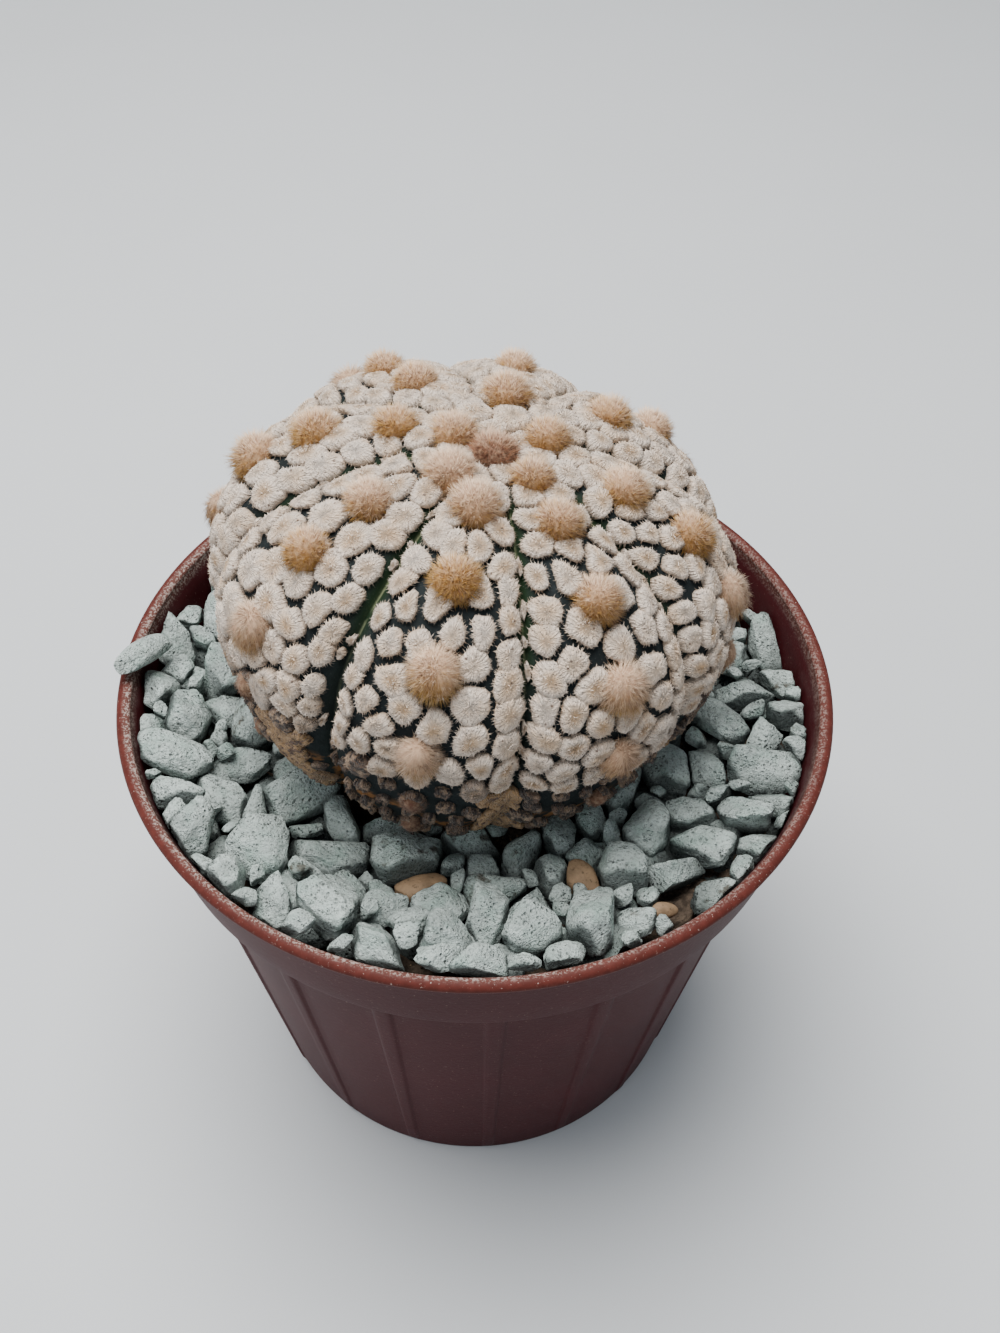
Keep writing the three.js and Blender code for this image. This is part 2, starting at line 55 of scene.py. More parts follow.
# Plant: the rounded, slightly leaning body with its grooves and areoles, as the solids have them. Angles are
# in degrees, from the body's axis and round it. RIB_AREOLES holds each rib's angles down from the apex and
# how far aside its first areole lies, and WOOL_GOLD how golden the wool of the same areoles is.
BODY_CENTRE = np.array([-0.2, 1.0, 104.6])
BODY_RADIUS = 35.9
BODY_RISE = 22.9
BODY_DEPTH = 35.6
BODY_ROUNDNESS = 2.12
LEAN = [0.117, 0.023]
GROOVE_AZIMUTHS = np.array([239.5, 281, 323, 370, 422, 464, 510, 555])
GROOVE_DEPTH = 2.1
GROOVE_FLANK = 6
GROOVE_SHARPNESS = 2.2
CREASE_DEPTH = 0.6
CREASE_WIDTH = 0.55
APEX_DIP = 1.4
APEX_SPREAD = 13
RIB_AREOLES = [
    ([30, 51, 70, 88, 104.5, 118], -1),
    ([20, 36, 56.5, 74.5, 91, 107.5], 3),
    ([40.5, 60, 77, 94.5, 111], -2),
    ([17, 44, 62, 81, 99.5, 115], -21),
    ([26, 50, 70, 89, 107], 0),
    ([40, 57, 76, 95, 112.5], 3),
    ([14, 31.5, 52.5, 69, 87, 104, 118], 2),
    ([22.5, 44, 61, 80.5, 97, 113], 15),
]
APEX_AREOLE = (6, 262)
RIBS = len(GROOVE_AZIMUTHS)
WOOL_GOLD = [
    [0.2, 0.95, 0.3, 0.0, 0.3, 0.3],
    [0.6, 0.5, 0.5, 0.05, 0.1, 0.3],
    [0.4, 0.7, 0.2, 0.1, 0.2],
    [0.65, 0.6, 0.2, 0.3, 0.1, 0.2],
    [0.5, 0.4, 0.5, 0.3, 0.2],
    [0.45, 0.55, 0.4, 0.2, 0.2],
    [0.45, 0.8, 0.65, 0.5, 0.3, 0.2, 0.2],
    [0.1, 0.25, 0.7, 0.15, 0.2, 0.2],
]
ROOT_RADIUS = 7
ROOT_TIP_RADIUS = 1.4
ROOT_TOP_DEPTH = 30
ROOT_TIP_DEPTH = 62

# Mosaic of flecks. CRUSTS holds the azimuth and half width of each patch of crust low on the body.
MOSAIC_SEED = 20
FLECK_SPACING = 2.9
FLECK_SPREAD = 1.0
OLD_FLECK_SPACING = 3.0
OLD_FLECK_SPREAD = 0.5
BURIED_SPACING = 9
AREOLE_CLEAR = 3.9
GROOVE_ROW_OFFSET = 1.9
GROOVE_ROW_STEP = 3.7
GROOVE_ROW_CLEAR = 2.7
GROOVE_ROWS_FROM = 24
FLECKS_FROM = 7
OLD_BAND_FROM = 97
BURIED_FROM = 124
OLD_FLECK_SHARE = 0.62
GROWN_TOGETHER = -1.2
CRUSTS = [(280, 2.9), (228, 4.6), (333, 1.8), (48, 2.4), (150, 2.4)]
BARE_RIB_AZIMUTH = 257
CAD_FLECK_HEIGHT = 1
FLECK_RINGS = [(0.88, -0.45), (1.0, 0.12), (1.03, 0.5), (0.94, 0.9), (0.7, 1.04), (0.36, 1.06)]
FLECK_MIDDLE_RISE = 1.08
HOLLOW_SHARE = 0.68

# Fibres and hairs
HAIR_POINTS = 4
FRINGE_PER_MILLIMETRE = 8.5
NAP_PER_SQUARE_MILLIMETRE = 7.2
TUFT_RADIUS = 2.7
TUFT_HEIGHT = 2.5
LOCKS_PER_TUFT = 320
# The way in the world toward which the wool's painted side shading turns golden.
GOLDEN_SHADING_WAY = (-0.1, -0.57, -0.8)

# Pot
RIM_RADIUS = 52.5
POT_HEIGHT = 85
FOOT_RADIUS = 37.5
WALL_TAPER = 0.13
WALL = 1.15
LIP_WIDTH = 2.0
LIP_HEIGHT = 1.6
COLLAR_LOW = 69.6
COLLAR_LOW_RADIUS = 49.3
COLLAR_TAPER = 0.135
FLOOR_LOW = 1.9
FLOOR_THICK = 1.5
FOOT_RING = 2.9
WALL_RIBS = 18
FIRST_WALL_RIB = 275
RIB_TOP = COLLAR_LOW - 0.9
RIB_STEPS = np.array([-1.2, -1.0, -0.86, -0.7, -0.35, 0, 0.35, 0.7, 0.86, 1.0, 1.2])
RIB_RISES = np.array([0, 0.12, 0.6, 0.95, 1, 1, 1, 0.95, 0.6, 0.12, 0])
POT_EDGE = 50
DRAIN_HOLES = 6
DRAIN_RADIUS = 3.2
DRAIN_CIRCLE = 25

# Filling. PEBBLES, BARE_SOIL and GAP_STONE are places of x, y and size. BARE_SOIL and the first three of
# PEBBLES are read off the photo, and the other two pebbles lie at the back.
BED_BELOW = 4.4
GRAVEL_LEVEL = 80.8
GRAVEL_BANK = 0.9
GRAVEL_SLOPE = 3.5
NECK_RADIUS = 27
STONE_SIZES = [(4.7, 500), (3.7, 700), (2.8, 900)]
STONE_RISE = 0.3
STONE_CROWDING = 0.84
STONE_SEED = 71
STONE_FULLNESS = 0.8
BANK_LIFT = 2.6
BANK_SIDE = (-0.8, -0.6)
STONE_GAP = 0.3
STONE_EDGE = 30
STONE_RELIEF = [(0.05, 4.0), (0.034, 9.0), (0.018, 22.0)]
LARGE_STONE = 4.0
SMALL_STONE = 2.3
BARE_SOIL = (28.5, -36.0, 2.9)
PEBBLES = [(-7.2, -34.4, 2.6), (15.3, -32.8, 2.4), (25.0, -38.4, 1.3), (34, 22, 2.0), (-24, 35, 1.8)]
GAP_STONE = (-3.2, -46.8, 2.5)
RIM_STONE_PLACE = (-49.3, 0.7, 86.2)
RIM_STONE_WAY = (-6.4, -11.0, 3.2)
RIM_STONE_HALVES = (5.2, 1.9, 1.6)
SOIL_GAP = 0.35
SOIL_EDGE = 47.4

# Stage, in metres. The camera is the one fitted to the lip, the collar and the foot in the photo.
CAMERA_PLACE = (0.003456, -0.132929, 0.234657)
CAMERA_PITCH = 48.25
CAMERA_ROLL = 1.33
FOCAL_PIXELS = 1350
PICTURE_SIZE = (1000, 1333)
AIM_HEIGHT = 0.09
FLOOR_HALF = 1.6
FLOOR_DEPTH = 1.5
FLOOR_BEND = 0.5
BACKDROP_HEIGHT = 2.0
DAYLIGHT_COLOUR = (0.86, 0.93, 1.0)
SOFTBOXES = [
    ("sky", (-0.10, 0.08, 0.8), 0.6, 12.5, (1.0, 0.985, 0.96)),
    ("front_fill", (-0.4, -0.7, 0.6), 0.8, 1.8, (0.92, 0.96, 1.0)),
    ("left_fill", (-0.7, -0.05, 0.22), 0.5, 1.1, (1.0, 0.97, 0.95)),
]


def colour_setting(name, description, default):
    return FloatVectorProperty(
        name=name, description=description, default=default, size=3, subtype="COLOR", min=0, max=1)


def length_setting(name, description, default, least, most):
    return FloatProperty(
        name=name, description=description, default=default, min=least, max=most,
        subtype="DISTANCE", unit="LENGTH")


class PlantSettings(bpy.types.PropertyGroup):
    fleck_height: length_setting(
        "Fleck height", "How thick a felt fleck stands on the skin", 0.00115, 0.0003, 0.003)
    fringe_length: length_setting(
        "Fringe length", "Length of the felt fibres round a fleck", 0.00055, 0.0001, 0.002)
    wool_length: length_setting(
        "Wool length", "Length of the hairs of an areole's tuft", 0.0014, 0.0005, 0.004)
    hairs_per_tuft: IntProperty(
        name="Hairs in a tuft", description="How many hairs each areole's tuft has",
        default=1700, min=20, max=3000)
    skin_colour: colour_setting(
        "Skin", "Colour of the bare skin on the ribs", (0.010, 0.0135, 0.0145))
    groove_colour: colour_setting(
        "Groove", "Colour of the skin in the grooves", (0.012, 0.028, 0.011))
    felt_colour: colour_setting(
        "Felt", "Colour of the flecks' felt", (0.84, 0.65, 0.50))
    old_felt_colour: colour_setting(
        "Old felt", "Colour of the old, corky flecks near the gravel", (0.17, 0.096, 0.056))
    wool_colour: colour_setting(
        "Wool", "Colour of the areoles' golden wool", (0.49, 0.275, 0.055))


class PotSettings(bpy.types.PropertyGroup):
    rib_height: length_setting(
        "Rib height", "How proud the upright ribs stand on the wall", 0.00055, 0, 0.002)
    rib_width: length_setting(
        "Rib width", "Width of an upright rib under the collar", 0.0032, 0.0005, 0.006)
    plastic_colour: colour_setting(
        "Plastic", "Colour of the moulded pot", (0.050, 0.0085, 0.0105))
    # Painted light: the lip's colour is the plastic made lighter where the sun falls on the lip's top.
    lip_colour: colour_setting(
        "Lip", "Colour of the pot's sunlit lip", (0.074, 0.0185, 0.0145))


class FillingSettings(bpy.types.PropertyGroup):
    stone_colour: colour_setting(
        "Stones", "Colour of the grey-green stones", (0.50, 0.575, 0.545))
    soil_colour: colour_setting(
        "Soil", "Colour of the damp soil", (0.045, 0.033, 0.024))
    pebble_colour: colour_setting(
        "Pebbles", "Colour of the few tan pebbles", (0.19, 0.125, 0.072))


class StageSettings(bpy.types.PropertyGroup):
    floor_colour: colour_setting(
        "Floor", "Colour of the plain floor", (0.62, 0.64, 0.66))
    daylight: FloatProperty(
        name="Daylight", description="Strength of the even light from all round", default=0.36, min=0, max=5)


# Meshes


def add_piece(name, points, triangles, material, masks=None, combing=None, sharp_angle=None):
    """A mesh object from points in millimetres. The materials read masks, a colour for each point, and
    combing, a vector for each point."""
    points = np.asarray(points, float)
    triangles = np.asarray(triangles, np.int32)
    mesh = bpy.data.meshes.new(name)
    mesh.vertices.add(len(points))
    mesh.vertices.foreach_set("co", (points * MM).astype(np.float32).ravel())
    mesh.loops.add(3 * len(triangles))
    mesh.loops.foreach_set("vertex_index", triangles.ravel())
    mesh.polygons.add(len(triangles))
    mesh.polygons.foreach_set("loop_start", np.arange(0, 3 * len(triangles), 3, dtype=np.int32))
    mesh.update(calc_edges=True)
    if masks is not None:
        layer = mesh.attributes.new("masks", "FLOAT_COLOR", "POINT")
        colours = np.ones((len(points), 4), np.float32)
        colours[:, : masks.shape[1]] = masks
        layer.data.foreach_set("color", colours.ravel())
    if combing is not None:
        layer = mesh.attributes.new("combing", "FLOAT_VECTOR", "POINT")
        layer.data.foreach_set("vector", combing.astype(np.float32).ravel())
    mesh.polygons.foreach_set("use_smooth", np.ones(len(triangles), bool))
    if sharp_angle is not None:
        mesh.set_sharp_from_angle(angle=math.radians(sharp_angle))
    mesh.materials.append(material)
    piece = bpy.data.objects.new(name, mesh)
    bpy.context.scene.collection.objects.link(piece)
    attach(piece, "root")
    return piece


def unit(vectors):
    return vectors / np.linalg.norm(vectors, axis=-1, keepdims=True)


def smooth_step(low, high, value):
    t = np.clip((value - low) / (high - low), 0, 1)
    return t * t * (3 - 2 * t)


def grid_triangles(rows, columns, closed=True):
    """Triangles between the points of a grid of rows. A closed grid joins the last column to the first."""
    last = columns if closed else columns - 1
    row, column = np.meshgrid(np.arange(rows - 1), np.arange(last), indexing="ij")
    a = (row * columns + column).ravel()
    b = (row * columns + (column + 1) % columns).ravel()
    c = a + columns
    d = b + columns
    return np.concatenate([np.stack([a, b, d], 1), np.stack([a, d, c], 1)])


def tangent_axes(normals):
    """Two directions across each normal."""
    helper = np.where(np.abs(normals[:, 2:3]) < 0.9, [[0.0, 0.0, 1.0]], [[1.0, 0.0, 0.0]])
    east = unit(np.cross(helper, normals))
    north = np.cross(normals, east)
    return east, north


def wavy_noise(points, scale, seed, waves=10):
    """Smooth noise from -1 to 1 at points: a sum of waves that run in random directions."""
    rng = np.random.default_rng(seed)
    directions = unit(rng.normal(size=(waves, 3))) * rng.uniform(0.6, 1.5, (waves, 1)) * scale
    phases = rng.uniform(0, 2 * math.pi, waves)
    return np.sin(points @ directions.T + phases).sum(axis=-1) / math.sqrt(waves) * 0.8


def hair_mesh(roots, directions, lengths, widths, bends):
    """Three-sided hairs that taper to a point. bends is how far each tip is carried aside. Returns points,
    triangles and how far along its hair each point is."""
    directions = unit(directions)
    east, north = tangent_axes(directions)
    corners = np.arange(3) * 2 * math.pi / 3
    ring = east[:, None] * np.cos(corners)[None, :, None] + north[:, None] * np.sin(corners)[None, :, None]
    foot = roots[:, None] + ring * (widths * 0.5)[:, None, None]
    tip = roots + directions * lengths[:, None] + bends
    points = np.concatenate([foot, tip[:, None]], axis=1)
    along = np.tile([0.0, 0.0, 0.0, 1.0], len(roots))
    sides = np.array([(corner, (corner + 1) % 3, 3) for corner in range(3)])
    triangles = sides[None] + (np.arange(len(roots)) * HAIR_POINTS)[:, None, None]
    return points.reshape(-1, 3), triangles.reshape(-1, 3), along


def joined(meshes):
    """The points, triangles and masks of several meshes as one."""
    points, triangles, masks = zip(*meshes)
    starts = np.cumsum([0] + [len(part) for part in points[:-1]])
    triangles = [part + start for part, start in zip(triangles, starts)]
    return np.concatenate(points), np.concatenate(triangles), np.concatenate(masks)


# Body surface


def body_axes():
    up = unit(np.array([LEAN[0], LEAN[1], 1.0]))
    right = unit(np.array([1.0, 0.0, 0.0]) - up * up[0])
    return np.stack([right, np.cross(up, right), up])


BODY_AXES = body_axes()


def direction(angle, azimuth):
    """Directions from the body's centre, from the angle to its axis and the azimuth, in degrees."""
    angle = np.asarray(angle, float) * DEGREE
    azimuth = np.asarray(azimuth, float) * DEGREE
    return np.stack(np.broadcast_arrays(
        np.sin(angle) * np.cos(azimuth), np.sin(angle) * np.sin(azimuth), np.cos(angle)), axis=-1)


def angle_from_axis(rays):
    return np.degrees(np.arccos(np.clip(rays[..., 2], -1, 1)))


def azimuth_of(rays):
    return np.degrees(np.arctan2(rays[..., 1], rays[..., 0]))


def signed_turn(azimuth, other):
    """Degrees from the other azimuth, from -180 to 180."""
    return (azimuth - other + 900) % 360 - 180


def outline_radius(rays):
    side = np.hypot(rays[..., 0], rays[..., 1]) / BODY_RADIUS
    rise = np.abs(rays[..., 2]) / np.where(rays[..., 2] > 0, BODY_RISE, BODY_DEPTH)
    return (side ** BODY_ROUNDNESS + rise ** BODY_ROUNDNESS) ** (-1 / BODY_ROUNDNESS)


def turns_to_grooves(rays):
    """Degrees from each groove's line."""
    return signed_turn(azimuth_of(rays)[..., None], GROOVE_AZIMUTHS)


def girth(rays):
    """Millimetres from the body's axis to its surface."""
    return outline_radius(rays) * np.hypot(rays[..., 0], rays[..., 1])


def across_groove(rays):
    """Millimetres from the nearest groove's line."""
    return girth(rays) * np.abs(turns_to_grooves(rays)).min(-1) * DEGREE


def skin_drop(rays, crease=0.0):
    angle = angle_from_axis(rays)
    across = across_groove(rays)
    flank = 1 - np.minimum(1, across / GROOVE_FLANK)
    fade = smooth_step(16, 60, angle) * (1 - 0.6 * smooth_step(115, 160, angle))
    line = crease * np.exp(-((across / CREASE_WIDTH) ** 2)) * smooth_step(10, 30, angle)
    dip = APEX_DIP * np.exp(-((angle / APEX_SPREAD) ** 2))
    return GROOVE_DEPTH * flank ** GROOVE_SHARPNESS * fade + dip + line


def body_points(rays, lift, crease=0.0):
    """Points on the body, lifted above the skin."""
    radius = outline_radius(rays) - CAD_FLECK_HEIGHT - skin_drop(rays, crease) + lift
    return rays * radius[..., None] @ BODY_AXES + BODY_CENTRE


def body_normals(rays):
    """Outward normals of the smooth body under the flecks."""
    east, north = tangent_axes(rays)
    step = 0.02
    here = body_points(rays, 0.0)
    aside = body_points(unit(rays + east * step), 0.0) - here
    above = body_points(unit(rays + north * step), 0.0) - here
    return unit(np.cross(aside, above))


# Mosaic of flecks


def random_source(seed):
    state = seed

    def draw():
        nonlocal state
        state = (state * 1664525 + 1013904223) & 0xFFFFFFFF
        return state / 4294967296

    return draw


def rib_azimuth(rib):
    following = GROOVE_AZIMUTHS[(rib + 1) % RIBS] + (360 if rib + 1 == RIBS else 0)
    return 0.5 * (GROOVE_AZIMUTHS[rib] + following)


def areole_rays():
    """The ray of each areole, the one at the apex first."""
    rays = [direction(*APEX_AREOLE)]
    for rib, (angles, aside) in enumerate(RIB_AREOLES):
        for order, angle in enumerate(angles):
            rays.append(direction(angle, rib_azimuth(rib) + (aside if order == 0 else 0)))
    return np.array(rays)


# The kinds of fleck, and the share of the full height that each kind has
AREOLE, GROOVESIDE, FLECK, OLD, BURIED, SLIVER = range(6)
KIND_HEIGHTS = np.array([1, 1, 1, 0.72, 0.5, 0.55])


def crust(rays):
    """1 on the patches of orange-brown crust low on the body, and 0 away from them."""
    mask = np.zeros(rays.shape[:-1])
    for middle, half_width in CRUSTS:
        aside = np.abs(signed_turn(azimuth_of(rays), middle)) * (girth(rays) * DEGREE)
        mask = np.maximum(mask, 1 - smooth_step(0.7 * half_width, 1.2 * half_width, aside))
    return mask * smooth_step(95, 99, angle_from_axis(rays) + 2 * wavy_noise(rays, 6.0, 44))


class Mosaic:
    """Seeds on the body: the areoles, a row down each side of every groove, and the rest between them."""

    most = 4000

    def __init__(self):
        areoles = areole_rays()
        self.rays = np.zeros((self.most, 3))
        self.kinds = np.zeros(self.most, int)
        self.clear = np.zeros(self.most)
        self.count = 0
        for ray in areoles:
            self.add(AREOLE, ray, AREOLE_CLEAR)
        self.rng = np.random.default_rng(MOSAIC_SEED)
        self.add_groove_rows()
        self.scatter(FLECK, FLECK_SPACING, FLECK_SPREAD, FLECKS_FROM, OLD_BAND_FROM, 9000)
        self.scatter(OLD, OLD_FLECK_SPACING, OLD_FLECK_SPREAD, OLD_BAND_FROM, BURIED_FROM, 5000)
        self.scatter(BURIED, BURIED_SPACING, 0, BURIED_FROM, 180, 300)
        self.rays = self.rays[: self.count]
        self.kinds = self.kinds[: self.count]

    def add(self, kind, ray, clear):
        self.rays[self.count] = ray
        self.kinds[self.count] = kind
        self.clear[self.count] = clear
        self.count += 1

    def is_clear(self, ray, spacing):
        apart = np.linalg.norm(self.rays[: self.count] - ray, axis=1) * outline_radius(ray)
        return bool((apart >= self.clear[: self.count] * 0.5 + 0.5 * spacing).all())

    def add_groove_rows(self):
        for groove in GROOVE_AZIMUTHS:
            for side in (-1, 1):
                angle = GROOVE_ROWS_FROM + 3 * self.rng.random()
                while angle < OLD_BAND_FROM:
                    radius = float(outline_radius(direction(angle, groove)))
                    offset = GROOVE_ROW_OFFSET * self.rng.uniform(0.9, 1.15)
                    aside = offset / (radius * math.sin(angle * DEGREE)) / DEGREE
                    ray = direction(angle, groove + side * aside)
                    if self.is_clear(ray, GROOVE_ROW_CLEAR - 0.1):
                        self.add(GROOVESIDE, ray, GROOVE_ROW_CLEAR)
                    angle += GROOVE_ROW_STEP * self.rng.uniform(0.8, 1.3) / radius / DEGREE

    def scatter(self, kind, spacing, spread, low_angle, high_angle, tries):
        high = math.cos(low_angle * DEGREE)
        low = math.cos(high_angle * DEGREE)
        rises = self.rng.uniform(low, high, tries)
        azimuths = self.rng.uniform(0, 360, tries)
        rays = direction(np.degrees(np.arccos(rises)), azimuths)
        wanted = spacing + spread * np.clip(0.5 + 0.5 * wavy_noise(rays, 5.0, 17), 0, 1) ** 1.5
        for ray, clear in zip(rays, wanted):
            if self.is_clear(ray, clear):
                self.add(kind, ray, clear)


class Cells:
    """The outline of each fleck of a mosaic, as a distance in each of a number of directions."""

    spokes = 20
    rounding = 4.4
    near = 14
    widest_reach = 3.6
    least_room = 0.35 / 36
    lobes = ((2, 0.07), (3, 0.06), (5, 0.045), (7, 0.03))

    def __init__(self, mosaic):
        self.kinds = mosaic.kinds
        self.rays = mosaic.rays.copy()
        self.turn = np.arange(self.spokes) * 2 * math.pi / self.spokes
        self.even_out(3)
        self.find_neighbours()
        self.gaps = self.edge_gaps()
        self.middles = self.rays.copy()
        for _ in range(3):
            self.measure()
            self.middles = self.centroids()
        self.measure()
        self.scallop()
        self.add_slivers()

    def find_neighbours(self):
        apart = np.linalg.norm(self.rays[:, None] - self.rays[None], axis=2)
        np.fill_diagonal(apart, 9)
        self.neighbours = np.argsort(apart, axis=1, kind="stable")[:, : self.near]

    def centroids(self):
        return unit(self.middles + (self.reach[..., None] * self.spoke).mean(axis=1))

    def even_out(self, rounds):
        """Moves each fleck to the middle of its room. Areoles and the rows beside the grooves stay."""
        free = (self.kinds != AREOLE) & (self.kinds != GROOVESIDE)
        for _ in range(rounds):
            self.find_neighbours()
            self.gaps = np.zeros(self.neighbours.shape)
            self.middles = self.rays.copy()
            self.measure()
            self.rays[free] = self.centroids()[free]

    def edge_gaps(self):
        """Width of the bare skin between each fleck and its neighbours. Below nought they grow together."""
        rng = np.random.default_rng(5)
        count = len(self.rays)
        chance = rng.random((count, count))
        width = rng.random((count, count))
        here = np.arange(count)[:, None]
        low, high = np.minimum(here, self.neighbours), np.maximum(here, self.neighbours)
        chance, width = chance[low, high], width[low, high]
        middle = unit(self.rays[:, None] + self.rays[self.neighbours])
        angle = angle_from_axis(middle)
        own, other = self.kinds[:, None], self.kinds[self.neighbours]
        bare = np.clip(0.5 + 0.6 * wavy_noise(middle, 4.0, 3), 0, 1) * smooth_step(28, 55, angle)
        bare = np.maximum(bare, 0.9 * self.on_bare_rib(middle))
        gap = 0.03 + 0.42 * width + 0.6 * bare
        grow_together = (0.5 - 0.16 * smooth_step(25, 60, angle)) * (1 - 0.72 * bare)
        at_areole = (own == AREOLE) | (other == AREOLE)
        grow_together = np.where(at_areole, 0.62 - 0.2 * bare, grow_together)
        along_groove = (own == GROOVESIDE) & (other == GROOVESIDE)
        grow_together = np.where(along_groove, 0.55 - 0.2 * bare, grow_together)
        gap = np.where(chance < grow_together, GROWN_TOGETHER, gap)
        crusted = crust(middle) > 0.4
        old_gap = np.where(crusted, -0.7, np.where(chance < 0.18, -0.3, 0.6 + 0.9 * width))
        gap = np.where((own == OLD) | (other == OLD), old_gap, gap)
        opening = (0.35 + 0.75 * smooth_step(20, 50, angle)) * (0.8 + 0.4 * width)
        opening = opening + 1.5 * self.near_front_groove(middle) * smooth_step(48, 66, angle)
        crossing = self.crosses_groove(self.rays[:, None], self.rays[self.neighbours])
        return np.where(crossing & ~crusted, opening, gap)

    @staticmethod
    def on_bare_rib(rays):
        """1 on the front rib, whose flecks stand well apart, and 0 away from it."""
        aside = signed_turn(azimuth_of(rays), BARE_RIB_AZIMUTH)
        angle = angle_from_axis(rays)
        return np.exp(-((aside / 22) ** 4)) * smooth_step(42, 56, angle) * (1 - smooth_step(92, 100, angle))

    @staticmethod
    def crosses_groove(a, b):
        turn_a, turn_b = turns_to_grooves(a), turns_to_grooves(b)
        close = (np.abs(turn_a) < 45) & (np.abs(turn_b) < 45)
        return ((turn_a * turn_b < 0) & close).any(-1) & (angle_from_axis(a) > 18)

    @staticmethod
    def near_front_groove(rays):
        """1 in the wide dark groove at the front left, and 0 away from it."""
        return np.exp(-((turns_to_grooves(rays)[..., 0] / 9) ** 2))

    def spokes_at(self, rays):
        east, north = tangent_axes(rays)
        return (east[:, None] * np.cos(self.turn)[None, :, None]
                + north[:, None] * np.sin(self.turn)[None, :, None])

    def measure(self):
        """How far each fleck reaches along each spoke before it meets its neighbours."""
        self.spoke = self.spokes_at(self.middles)
        side = self.rays[:, None] - self.rays[self.neighbours]
        size = np.linalg.norm(side, axis=2)
        room = np.einsum("nkc,nc->nk", side, self.middles)
        room = room - 0.5 * self.gaps * size / outline_radius(self.middles)[:, None]
        room = np.maximum(room, self.least_room * size)
        closing = -np.einsum("nkc,nmc->nkm", side, self.spoke)
        inverse = np.maximum(closing, 0) / room[..., None]
        limit = (outline_radius(self.middles)[:, None] / self.widest_reach) ** self.rounding
        self.reach = ((inverse ** self.rounding).sum(axis=1) + limit) ** (-1 / self.rounding)
        nearest = inverse.argmax(axis=1)
        self.merged = np.take_along_axis(self.gaps, nearest, axis=1) < 0

    def scallop(self):
        """Lobed, slightly ragged edges."""
        rng = np.random.default_rng(8)
        count = len(self.rays)
        wave = np.zeros_like(self.reach)
        for lobes, depth in self.lobes:
            phase = rng.uniform(0, 2 * math.pi, (count, 1))
            wave += depth * rng.uniform(0.3, 1, (count, 1)) * np.sin(lobes * self.turn + phase)
        wave += rng.uniform(-0.035, 0.035, wave.shape)
        old = (self.kinds == OLD)[:, None]
        self.reach = self.reach * np.where(old & (crust(self.middles)[:, None] < 0.4), OLD_FLECK_SHARE, 1)
        self.reach = self.reach * (1 + wave * np.where(old, 2.0, 1.0))

    def add_slivers(self):
        """Small narrow flecks that lie in the grooves, along their crease."""
        rng = np.random.default_rng(61)
        rays, stretch, slant = [], [], []
        for groove in GROOVE_AZIMUTHS:
            angle = 34 + 6 * rng.random()
            while angle < 94:
                radius = float(outline_radius(direction(angle, groove)))
                wide = 1 if groove == GROOVE_AZIMUTHS[0] and angle > 50 else 0
                aside = rng.normal(0, 0.22 + 0.35 * wide) / (radius * math.sin(angle * DEGREE)) / DEGREE
                length = rng.uniform(0.6, 1.5)
                if rng.random() < 0.8:
                    rays.append(direction(angle, groove + aside))
                    stretch.append((length, rng.uniform(0.2, 0.34) * (1 + 0.5 * wide)))
                    slant.append(rng.normal(0, 0.22))
                angle += (2 * length + rng.uniform(0.3, 2.4)) / radius / DEGREE
        rays, stretch, slant = np.array(rays), np.array(stretch), np.array(slant)
        turned = self.turn[None] - slant[:, None]
        oval = np.hypot(np.sin(turned) / stretch[:, :1], np.cos(turned) / stretch[:, 1:]) ** -1
        oval = oval * (1 + 0.14 * np.sin(3 * turned + 9 * slant[:, None])) / outline_radius(rays)[:, None]
        self.kinds = np.concatenate([self.kinds, np.full(len(rays), SLIVER)])
        self.middles = np.concatenate([self.middles, rays])
        self.spoke = np.concatenate([self.spoke, self.spokes_at(rays)])
        self.reach = np.concatenate([self.reach, oval])
        self.merged = np.concatenate([self.merged, np.zeros(oval.shape, bool)])

    def ring(self, chosen, scale, lift):
        """Points round the chosen flecks at a share of their reach, and how high they stand."""
        outward = self.spoke[chosen] * (self.reach[chosen] * scale)[..., None]
        return body_points(unit(self.middles[chosen][:, None] + outward), lift)


# Shader nodes


def add_node(tree, kind, inputs=None, **settings):
    """A node with its settings, and its inputs given by name or place as values or as sockets to link."""
    made = tree.nodes.new(kind)
    for name, value in settings.items():
        setattr(made, name, value)
    for key, value in (inputs or {}).items():
        socket = made.inputs[key]
        if isinstance(value, bpy.types.NodeSocket):
            tree.links.new(value, socket)
        else:
            socket.default_value = value
    return made


def math_node(tree, operation, *values, clamp=False):
    made = add_node(tree, "ShaderNodeMath", dict(enumerate(values)), operation=operation, use_clamp=clamp)
    return made.outputs[0]


def mix_colours(tree, factor, first, second, blend="MIX"):
    made = add_node(tree, "ShaderNodeMix", data_type="RGBA", blend_type=blend)
    for socket, value in zip((made.inputs[0], made.inputs[6], made.inputs[7]), (factor, first, second)):
        if isinstance(value, bpy.types.NodeSocket):
            tree.links.new(value, socket)
        elif isinstance(value, (int, float)):
            socket.default_value = value
        else:
            socket.default_value = (*value, 1)
    return made.outputs[2]


def map_range(tree, value, low, high, to_low=0.0, to_high=1.0):
    made = add_node(tree, "ShaderNodeMapRange", {0: value, 1: low, 2: high, 3: to_low, 4: to_high})
    made.interpolation_type = "SMOOTHSTEP"
    return made.outputs[0]


def group_of(name, inputs, outputs):
    """An empty node group with named inputs and outputs, and its two end nodes."""
    group = bpy.data.node_groups.new(name, "ShaderNodeTree")
    for label, default, low, high in inputs:
        socket = group.interface.new_socket(label, in_out="INPUT", socket_type="NodeSocketFloat")
        socket.default_value = default
        socket.min_value = low
        socket.max_value = high
    for label in outputs:
        group.interface.new_socket(label, in_out="OUTPUT", socket_type="NodeSocketFloat")
    return group, group.nodes.new("NodeGroupInput"), group.nodes.new("NodeGroupOutput")


def object_place(tree):
    return add_node(tree, "ShaderNodeTexCoord").outputs["Object"]


